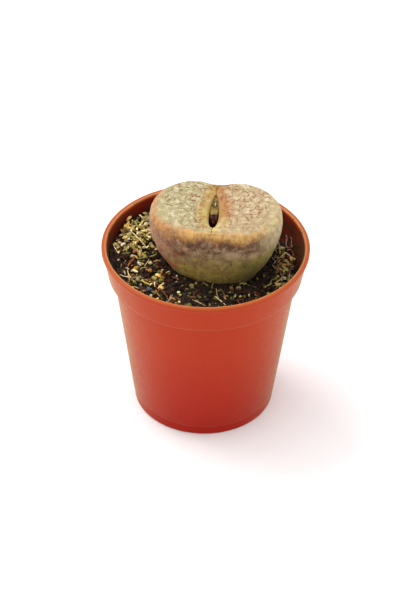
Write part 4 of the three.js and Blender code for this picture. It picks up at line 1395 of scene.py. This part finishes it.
def bed_rings(pot, plant, soil, angles):
    """The mix's closed surface: floor, wall, top, the head's socket and the root's hole.

    Returns the rings with the number of the first and the last ring of the open top."""

    def at_wall(height):
        """A ring at the mix's clearance from the inner wall."""
        return level_ring(angles, inner_radius(pot, height) - soil.gap, height)

    floor = pot.floor_top + 0.05 * MM
    floor_edge = inner_foot(pot) - soil.gap - 0.85 * MM
    rings = [level_ring(angles, radius, floor) for radius in np.linspace(0.5 * MM, floor_edge, FLOOR_RINGS)]
    low, high = pot.floor_top + 0.85 * MM, pot.collar_base - 0.6 * MM
    rings += [at_wall(height) for height in np.linspace(low, high, WALL_RINGS)]
    edge = at_wall(soil.level)
    edge = at_wall(mix_height(soil, edge[:, 0], edge[:, 1]))
    rings += [at_wall(mix(pot.collar_base, edge[:, 2], part)) for part in (0.35, 0.7)]

    shares, heights = np.array(FLANK).T * [[1], [MM]]
    own_angles = angles - plant.turn
    meeting = np.full(angles.shape, soil.level)
    for _ in range(6):
        part = np.interp(meeting, heights, shares)
        socket = to_pot(plant, head_ring(plant, own_angles, part, meeting, soil.clearance))
        meeting = mix_height(soil, socket[:, 0], socket[:, 1])
    first_open = len(rings)
    for part in np.linspace(0, 1, OPEN_RINGS):
        x, y = mix(edge[:, :2], socket[:, :2], part).T
        rings.append(np.stack([x, y, mix_height(soil, x, y)], axis=1))
    last_open = len(rings) - 1

    foot = heights[0] - soil.clearance
    for part in np.linspace(0, 1, SOCKET_RINGS + 1)[1:]:
        z = mix(meeting, foot, part)
        share_at = np.interp(z + soil.clearance, heights, shares)
        rings.append(to_pot(plant, head_ring(plant, own_angles, share_at, z, soil.clearance)))
    for part in np.linspace(0, 1, ROOT_RINGS):
        radius = mix(plant.root_radius, plant.root_tip_radius, part**0.7) + soil.clearance
        ring = level_ring(own_angles, radius, mix(foot, plant.root_tip - soil.clearance, part))
        rings.append(to_pot(plant, ring + [0.7 * MM * math.sin(part * 5), 0, 0]))
    return np.array(rings), first_open, last_open


def peat_tree(soil, material):
    """Breaks the broad surface up into crumbs and hollows."""
    graph, outer = geometry_tree("peat relief", "Relief")
    place = graph.position()
    lumps = graph.cells(graph.bend(place, 1.2 * MM, 0.9 * MM), 1.1 * MM, "F1")
    lumps = graph.ramp(lumps, 0.1, 0.75, 1.0, 0.0)
    wide = graph.noise(place, soil.relief_size, 3.0, 0.6)
    fine = graph.noise(place, 0.45 * MM, 2.0, 0.6)
    height = graph.math("MULTIPLY_ADD", lumps, 0.35, wide)
    height = graph.math("MULTIPLY_ADD", fine, 0.3, height)
    height = graph.times(graph.math("SUBTRACT", height, 0.85), outer["Relief"], graph.named("loose"))
    return finish_tree(graph, graph.moved(outer["Geometry"], Offset=graph.joined(z=height)), material)


def peat_material(soil):
    """Dark moist peat with a few red-brown bits."""
    material, graph, shader, place = new_material("peat")
    blotches = group(graph, "Mottle", place, Scale=900.0, Contrast=2.6)
    red = graph.ramp(graph.noise(place, 1.1 * MM, 3.0, 0.6), 0.56, 0.68, 0.0, 0.6)
    coat = {
        "Base Color": graph.layered(
            soil.dark_peat, (graph.ramp(blotches, 0.3, 0.8), soil.peat), (red, soil.red_peat)
        ),
        "Roughness": graph.ramp(blotches, 0.2, 0.8, 0.75, 0.98),
        "Normal": graph.bump(graph.noise(place, 0.2 * MM, 5.0, 0.7), 0.2 * MM),
    }
    graph.feed(shader, coat)
    return material


def bits_material(name, colours, roughness=0.8):
    """Loose bits that each take one of a row of colours, in darker and lighter blotches and with a brightness
    of their own.
    """
    material, graph, shader, place = new_material(name)
    blotches = group(graph, "Mottle", place, Scale=1500.0, Contrast=2.4)
    shade = graph.times(graph.ramp(blotches, 0.25, 0.7, 0.65, 1.08), graph.attribute("bright"))
    coat = {
        "Base Color": graph.shaded(graph.palette(graph.attribute("tint"), colours), shade),
        "Roughness": graph.ramp(blotches, 0.2, 0.8, roughness - 0.12, roughness + 0.12),
        "Normal": graph.bump(graph.noise(place, 0.2 * MM, 4.0, 0.6), 0.12 * MM),
    }
    graph.feed(shader, coat)
    return material


def held_in(graph):
    """A point's place, drawn towards the pot's axis where it would reach into the pot's wall."""
    x, y, z = graph.split(graph.position())
    # The room inside the wall widens slowly above this height and narrows fast below it.
    bend, room = 42 * MM, 24.5 * MM
    over = graph.math("SUBTRACT", z, bend)
    above = graph.math("MULTIPLY_ADD", over, 0.175, room)
    below = graph.math("MULTIPLY_ADD", over, 0.93, room)
    kept = graph.math("DIVIDE", graph.math("MINIMUM", above, below), graph.across(x, y))
    kept = graph.math("MINIMUM", kept, 1.0)
    return graph.joined(graph.times(x, kept), graph.times(y, kept), z)


def scatter_tree(name, build, zone, material, tilt=0.6, knob=0.7 * MM, finish=None):
    """Scatters one kind of bit over the open mix and makes each bit's shape its own."""
    labels = ("Spacing", "Density", "Smallest", "Largest", "Lift", "Roughness", "Seed")
    graph, outer = geometry_tree(name, *labels)

    def seed(step):
        """Each random draw has a seed of its own."""
        return graph.math("ADD", outer["Seed"], step)

    sockets = {
        "Mesh": outer["Geometry"],
        "Distance Min": outer["Spacing"],
        "Density Max": outer["Density"],
        "Density Factor": graph.named(zone),
        "Seed": outer["Seed"],
    }
    points = graph.add("GeometryNodeDistributePointsOnFaces", distribute_method="POISSON")
    graph.feed(points, sockets)
    lean = graph.random_vector((-tilt, -tilt, 0.0), (tilt, tilt, TURN), seed(1.0))
    sockets = {0: points.outputs["Rotation"], 1: graph.get("FunctionNodeEulerToRotation", {0: lean})}
    rotation = graph.get("FunctionNodeRotateRotation", sockets, rotation_space="LOCAL")
    size = graph.math("POWER", graph.random(0.0, 1.0, seed(2.0)), 2.0)
    span = graph.math("SUBTRACT", outer["Largest"], outer["Smallest"])
    size = graph.math("MULTIPLY_ADD", size, span, outer["Smallest"])
    uneven = graph.random_vector((0.75, 0.75, 0.7), (1.3, 1.1, 1.1), seed(3.0))
    lifted = graph.joined(z=graph.times(size, outer["Lift"]))
    sockets = {
        "Points": graph.moved(points.outputs["Points"], Offset=lifted),
        "Instance": build(graph),
        "Rotation": rotation,
        "Scale": graph.scaled(uneven, size),
    }
    placed = graph.get("GeometryNodeInstanceOnPoints", sockets)
    for label, low, high, step in (("tint", 0.0, 1.0, 4.0), ("bright", 0.32, 1.2, 5.0)):
        sockets = {"Geometry": placed, "Name": label, "Value": graph.random(low, high, seed(step))}
        placed = graph.get("GeometryNodeStoreNamedAttribute", sockets, data_type="FLOAT", domain="INSTANCE")
    real = graph.get("GeometryNodeRealizeInstances", {"Geometry": placed})
    shaped = graph.moved(real, Offset=graph.push(graph.position(), knob, outer["Roughness"], 1.0))
    shaped = graph.moved(shaped, Position=held_in(graph))
    if finish:
        shaped = finish(graph, shaped)
    return finish_tree(graph, shaped, material, smooth=bool(finish))


def ball(graph, subdivisions, size):
    """A rounded grain of a given size."""
    made = graph.get("GeometryNodeMeshIcoSphere", {"Radius": 1.0, "Subdivisions": subdivisions})
    return graph.get("GeometryNodeTransform", {"Geometry": made, "Scale": size})


def chip(graph):
    """A small angular grain."""
    return ball(graph, subdivisions=1, size=(1.0, 0.8, 0.65))


def lump(graph):
    """A rounder lump."""
    return ball(graph, subdivisions=2, size=(1.0, 0.85, 0.75))


def flake(graph):
    """A thin bent husk, twice as long as it is wide."""
    return tapered(graph, (2.3, 1.0, 0.32), pinch=0.75)


def sliver(graph):
    """A thin blade, six times as long as it is wide."""
    return tapered(graph, (2.0, 0.32, 0.1), pinch=0.85)


def twig(graph):
    """A round piece of twig."""
    return tapered(graph, (2.0, 0.3, 0.26), pinch=0.4)


def splinter(graph):
    """A bark splinter, three times as long as it is wide."""
    return tapered(graph, (2.4, 0.85, 0.5), pinch=0.3)


def tapered(graph, size, pinch):
    """A slightly bent slab that narrows to both ends."""
    sockets = {"Size": size, "Vertices X": 6, "Vertices Y": 3, "Vertices Z": 2}
    slab = graph.get("GeometryNodeMeshCube", sockets)
    x, y, _ = graph.split(graph.position())
    narrow = graph.ramp(graph.math("ABSOLUTE", x), 0.3, 0.5 * size[0], 0.0, pinch)
    drop = graph.math("MULTIPLY_ADD", graph.times(x, x), -0.2, graph.times(y, y, -0.5))
    return graph.moved(slab, Offset=graph.joined(y=graph.times(y, narrow, -1.0), z=drop))


def thread(graph):
    """A straight line along X, to be bent once it is placed."""
    line = graph.get("GeometryNodeCurvePrimitiveLine", {"Start": (-0.5, 0.0, 0.0), "End": (0.5, 0.0, 0.0)})
    return graph.get("GeometryNodeResampleCurve", {"Curve": line, "Count": FIBRE_POINTS})


def swept(graph, curves, resolution, radius, scale):
    """Lines given a round body with closed ends."""
    profile = graph.get("GeometryNodeCurvePrimitiveCircle", {"Resolution": resolution, "Radius": radius})
    sockets = {"Curve": curves, "Profile Curve": profile, "Scale": scale, "Fill Caps": True}
    return graph.get("GeometryNodeCurveToMesh", sockets)


def spun(thickness):
    """A last step that gives bent lines the body of a fibre of a given half thickness."""

    def finish(graph, curves):
        """Round bodies that taper to both ends."""
        along = graph.add("GeometryNodeSplineParameter").outputs["Factor"]
        taper = graph.ramp(graph.math("ABSOLUTE", graph.centred(along)), 0.3, 0.5, 1.0, 0.35)
        return swept(graph, curves, resolution=5, radius=thickness, scale=taper)

    return finish


class STONE_OT_peat(bpy.types.Operator):
    """Fills the pot with peat around the plant, with zones for the loose bits on it"""

    bl_idname = "stone.peat"
    bl_label = "Peat Bed"

    def execute(self, context):
        scene = context.scene
        pot, plant, soil = scene.stone_pot, scene.stone_plant, scene.stone_mix
        rings, first_open, last_open = bed_rings(pot, plant, soil, circle(BED_SIDES))
        mesh = ring_mesh("peat bed", rings)
        for name, values in self.zones(rings, first_open, last_open).items():
            store(mesh, name, np.append(values, [0, 0]))
        peat = peat_material(soil)
        mesh = grown("peat bed", mesh, peat_tree(soil, peat), {"Relief": soil.relief})
        piece("peat_bed", mesh, peat, "potting_mix", "potting_mix")
        return {"FINISHED"}

    def zones(self, rings, first_open, last_open):
        """How loose the mix is and how densely each kind of bit lies on it, for all points of the rings."""
        number = np.arange(len(rings))[:, None]
        part = (number - first_open) / (last_open - first_open)
        open_top = (number >= first_open) & (number <= last_open)
        clear = np.where(open_top, ramp(part, 0.03, 0.08) * ramp(part, 0.985, 0.9), 0)

        def spot(x, y, half_x, half_y):
            """1 at a spot in mm, falling off to its sides."""
            return bell(np.hypot((rings[:, :, 0] / MM - x) / half_x, (rings[:, :, 1] / MM - y) / half_y), 1)

        heap = spot(-17.5, 11, 6.5, 9)
        left = spot(-15, -8, 8, 9)
        right = spot(22.5, -1, 4.2, 9.5)
        # Fewer bits right of the head, so that bare dark peat stands in for part of the head's shadow:
        # painted shadow.
        bare_in_shadow = 0.35 * spot(16.5, -3, 3, 7)
        back = ramp(rings[:, :, 1], 6 * MM, 14 * MM)
        dense = {
            "crumb_zone": 1,
            "heap_zone": 1.5 * heap + 0.25 * back - 0.1,
            "grit_zone": 0.15 + 0.5 * left + 0.9 * right + 0.3 * heap + 0.3 * back - bare_in_shadow,
            "bark_zone": 0.2 + 0.5 * left + 1.6 * right - bare_in_shadow,
            "fibre_zone": 0.4 + 0.4 * left + right - bare_in_shadow,
            "root_zone": right,
        }
        zones = {name: clear * np.clip(values, 0, 1) for name, values in dense.items()}
        zones["loose"] = np.where(open_top, ramp(part, -0.02, 0.04) * ramp(part, 1.02, 0.97), 0)
        shape = rings.shape[:2]
        return {name: np.broadcast_to(values, shape) for name, values in zones.items()}


class STONE_OT_grit(bpy.types.Operator):
    """Scatters crumbs, pale grit, husks, bark and fibres over the peat"""

    bl_idname = "stone.grit"
    bl_label = "Grit, Bark and Fibres"

    def execute(self, context):
        soil = context.scene.stone_mix
        bed = bpy.data.objects["peat_bed"].data
        dark = [soil.dark_peat, soil.peat, soil.red_peat, soil.dark_bark, soil.peat, soil.moss]
        pale = [soil.cream_grit, soil.yellow_grit, soil.cream_grit, soil.green_grit, soil.yellow_grit]
        mixed = [soil.cream_grit, soil.yellow_grit, soil.green_grit, soil.tan_grit, soil.golden_grit]
        husks = [soil.cream_grit, soil.yellow_grit, soil.tan_grit, soil.green_grit]
        blades = [soil.straw, soil.green_grit, soil.tan_grit, soil.moss, soil.brown_fibre, soil.green_grit]
        barks = [soil.bark, soil.dark_bark, soil.red_peat, soil.dark_bark, soil.tan_grit]
        greens = [soil.moss, soil.green_grit]
        fibres = [soil.straw, soil.straw, soil.brown_fibre]
        roots = [soil.pink_grit, soil.straw]
        # Each kind: its shape, zone and colours, its spacing in mm and its density to a square mm, its
        # smallest and largest size in mm, its lift in shares of its size and its roughness in mm.
        kinds = {
            "peat_crumbs": (chip, "crumb_zone", dark, 0.46, 2.2, 0.18, 0.6, 0.35, 0.5),
            "heap_grit": (chip, "heap_zone", pale, 0.85, 2.2, 0.35, 0.9, 0.9, 0.5),
            "heap_husks": (flake, "heap_zone", pale, 0.8, 2.6, 0.4, 0.85, 1.6, 0.3),
            "mixed_grit": (lump, "grit_zone", mixed, 1.25, 0.55, 0.3, 0.8, 0.6, 0.6),
            "loose_husks": (flake, "grit_zone", husks, 1.5, 0.35, 0.4, 0.95, 1.1, 0.3),
            "leaf_slivers": (sliver, "bark_zone", blades, 1.0, 0.5, 0.6, 1.6, 0.5, 0.5),
            "bark_bits": (splinter, "bark_zone", barks, 1.3, 0.4, 0.3, 1.0, 0.5, 0.6),
            "twigs": (twig, "bark_zone", barks, 2.5, 0.1, 0.8, 1.8, 0.25, 0.5),
            "moss_bits": (lump, "bark_zone", greens, 2.4, 0.07, 0.28, 0.7, 0.7, 0.9),
            "straws": (thread, "fibre_zone", fibres, 2.2, 0.09, 3.5, 9.0, 0.1, 1.6),
            "rootlets": (thread, "root_zone", roots, 1.2, 0.6, 2.0, 5.5, 0.22, 3.5),
        }
        fine = {
            "straws": {"tilt": 0.2, "knob": 6 * MM, "finish": spun(0.11 * MM)},
            "rootlets": {"tilt": 0.9, "knob": 2.5 * MM, "finish": spun(0.07 * MM)},
        }
        for k, (name, kind) in enumerate(kinds.items()):
            build, zone, colours, spacing, density, smallest, largest, lift, roughness = kind
            label = name.replace("_", " ")
            material = bits_material(label, colours)
            tree = scatter_tree(label, build, zone, material, **fine.get(name, {}))
            values = {
                "Spacing": spacing * MM,
                "Density": density / MM**2,
                "Smallest": smallest * MM,
                "Largest": largest * MM,
                "Lift": lift,
                "Roughness": roughness * MM,
                "Seed": soil.seed + 20 * k,
            }
            piece(name, grown(name, bed.copy(), tree, values), material, "potting_mix")
        return {"FINISHED"}


def bit_tree(material):
    """Turns lines on the mix into straws, blades and grains."""
    graph, outer = geometry_tree("placed bits")
    thick = graph.named("thick")
    lines = graph.get("GeometryNodeMeshToCurve", {"Mesh": outer["Geometry"]})
    bent = graph.get("GeometryNodeCurveSplineType", {"Curve": lines}, spline_type="CATMULL_ROM")
    curves = graph.get("GeometryNodeResampleCurve", {"Curve": bent, "Count": FIBRE_POINTS})
    along = graph.add("GeometryNodeSplineParameter").outputs["Factor"]
    off_middle = graph.math("ABSOLUTE", graph.math("MULTIPLY_ADD", along, 2.0, -1.0))
    full = graph.math("SUBTRACT", 1.0, graph.math("POWER", off_middle, graph.named("blunt")))
    taper = graph.math("MAXIMUM", graph.math("SQRT", graph.math("MAXIMUM", full, 0.0)), 0.15)
    mesh = swept(graph, curves, resolution=8, radius=1.0, scale=graph.times(taper, thick))
    push = graph.push(graph.position(), 0.5 * MM, graph.times(thick, 1.5), 1.0)
    moved = graph.moved(graph.moved(mesh, Offset=push), Position=held_in(graph))
    return finish_tree(graph, moved, material)


class STONE_OT_bits(bpy.types.Operator):
    """Lays the straws, blades, grains and rootlets that stand out in the photograph on the mix"""

    bl_idname = "stone.bits"
    bl_label = "Placed Bits"

    def execute(self, context):
        soil = context.scene.stone_mix
        names = sorted({bit[3] for bit in BITS.values()})
        points, edges = [], []
        numbers = {"thick": [], "blunt": [], "tint": [], "bright": []}
        for pixels, thickness, blunt, name in BITS.values():
            first = len(points)
            points += [on_mix(context.scene.stone_stage, soil, *pixel) for pixel in pixels]
            edges += [(k, k + 1) for k in range(first, len(points) - 1)]
            tint = (names.index(name) + 0.5) / len(names)
            for values, value in zip(numbers.values(), (thickness * MM, blunt, tint, 1)):
                values += [value] * len(pixels)
        mesh = bpy.data.meshes.new("placed bits")
        mesh.from_pydata(points, edges, [])
        for key, values in numbers.items():
            store(mesh, key, values)
        material = bits_material("placed bits", [getattr(soil, name) for name in names], roughness=0.7)
        mesh = grown("placed bits", mesh, bit_tree(material), {})
        piece("placed_bits", mesh, material, "potting_mix")
        return {"FINISHED"}


# The stage.


def camera_frame(stage):
    """The camera's place and its turned axes."""
    out = Vector((0, -math.cos(stage.elevation), math.sin(stage.elevation)))
    facing = (-out).to_track_quat("-Z", "Y").to_matrix() @ Matrix.Rotation(stage.roll, 3, "Z")
    return Vector((0, 0, stage.aim_height)) + out * stage.distance, facing


def on_mix(stage, soil, pixel_x, pixel_y, lift):
    """The point at a height in mm over the mix that the camera sees at a pixel of the photograph."""
    start, facing = camera_frame(stage)
    depth = stage.pixels_per_mm * stage.distance / MM
    ray = facing @ Vector((pixel_x - POT_PIXEL_X, POT_PIXEL_Y - pixel_y, -depth))
    level = soil.level
    for _ in range(8):
        spot = start + ray * ((level + lift * MM - start.z) / ray.z)
        level = mix_height(soil, spot.x, spot.y)
    return spot


class STONE_OT_stage(bpy.types.Operator):
    """Sets the pale floor and backdrop, the soft lights and the camera"""

    bl_idname = "stone.stage"
    bl_label = "Stage"

    def execute(self, context):
        stage = context.scene.stone_stage
        self.sweep(context, stage)
        self.lights(context, stage)
        self.camera(context, stage)
        context.scene.view_settings.view_transform = "Standard"
        context.scene.view_settings.look = "Medium High Contrast"
        return {"FINISHED"}

    def sweep(self, context, stage):
        """A floor that curves up into a backdrop."""
        half, front, back, bend, top = 1.6, -1.2, 0.9, 0.35, 1.6
        section = [(front, 0.0), (back - bend, 0.0)]
        for turn in np.linspace(0.15, math.pi / 2, 12):
            section.append((back - bend + bend * math.sin(turn), bend - bend * math.cos(turn)))
        section.append((back, top))
        points = [(x, y, z) for y, z in section for x in (-half, half)]
        faces = [(2 * k, 2 * k + 1, 2 * k + 3, 2 * k + 2) for k in range(len(section) - 1)]
        mesh = bpy.data.meshes.new("studio sweep")
        mesh.from_pydata(points, [], faces)
        mesh.polygons.foreach_set("use_smooth", [True] * len(faces))
        material, graph, shader, place = new_material("pale paper")
        shade = graph.ramp(graph.noise(place, 0.2), 0.3, 0.7, 0.985, 1.0)
        coat = {
            "Base Color": graph.shaded(stage.floor, shade),
            "Roughness": 0.9,
            "Normal": graph.bump(graph.noise(place, 0.8 * MM, 3.0), 0.03 * MM),
        }
        graph.feed(shader, coat)
        mesh.materials.append(material)
        sweep = bpy.data.objects.new("studio_sweep", mesh)
        context.scene.collection.objects.link(sweep)

    def lights(self, context, stage):
        """A white surround that is dimmer in front, and a large soft key behind on the left."""
        world = bpy.data.worlds.new("soft surround")
        context.scene.world = world
        world.use_nodes = True
        graph = Graph(world.node_tree)
        _, y, _ = graph.split(graph.add("ShaderNodeTexCoord").outputs["Generated"])
        strength = graph.ramp(y, -0.75, 0.0, stage.front_sky, stage.sky)
        background = world.node_tree.nodes["Background"]
        graph.feed(background, {"Strength": strength, "Color": (1, 1, 1)})
        lamp = bpy.data.lights.new("key", "AREA")
        lamp.energy = stage.key
        lamp.shape = "DISK"
        lamp.size = stage.key_size
        holder = bpy.data.objects.new("key", lamp)
        holder.location = stage.key_place
        aim = Vector((0, 0, stage.aim_height)) - holder.location
        holder.rotation_euler = aim.to_track_quat("-Z", "Y").to_euler()
        context.scene.collection.objects.link(holder)

    def camera(self, context, stage):
        """The camera that the photograph's outline was fitted with."""
        data = bpy.data.cameras.new("camera")
        data.sensor_width = 36.0
        data.lens = stage.pixels_per_mm * stage.distance / MM * data.sensor_width / PHOTO_HEIGHT
        data.shift_x = (PHOTO_WIDTH / 2 - POT_PIXEL_X) / PHOTO_HEIGHT
        data.shift_y = (POT_PIXEL_Y - PHOTO_HEIGHT / 2) / PHOTO_HEIGHT
        data.clip_start = 0.01
        place, facing = camera_frame(stage)
        camera = bpy.data.objects.new("camera", data)
        camera.matrix_world = Matrix.Translation(place) @ facing.to_4x4()
        context.scene.collection.objects.link(camera)
        context.scene.camera = camera


OPERATORS = (
    STONE_OT_stage,
    STONE_OT_pot,
    STONE_OT_leaf_pair,
    STONE_OT_fissure,
    STONE_OT_root,
    STONE_OT_peat,
    STONE_OT_grit,
    STONE_OT_bits,
)


class STONE_PT_sidebar(bpy.types.Panel):
    """Lists the pieces of the potted living stone"""

    bl_label = "Living Stone"
    bl_idname = "STONE_PT_sidebar"
    bl_space_type = "VIEW_3D"
    bl_region_type = "UI"
    bl_category = "Living Stone"

    def draw(self, context):
        for operator in OPERATORS:
            self.layout.operator(operator.bl_idname)


def register():
    """Makes the settings, the operators and the panel known."""
    for made in (*SETTINGS.values(), *OPERATORS, STONE_PT_sidebar):
        bpy.utils.register_class(made)
    for name, settings in SETTINGS.items():
        setattr(bpy.types.Scene, name, PointerProperty(type=settings))


def unregister():
    """Takes the settings, the operators and the panel away again."""
    for name in SETTINGS:
        delattr(bpy.types.Scene, name)
    for made in reversed((*SETTINGS.values(), *OPERATORS, STONE_PT_sidebar)):
        bpy.utils.unregister_class(made)


def main():
    """Builds all pieces."""
    register()
    for operator in OPERATORS:
        family, name = operator.bl_idname.split(".")
        getattr(getattr(bpy.ops, family), name)()


if __name__ == "__main__":
    main()
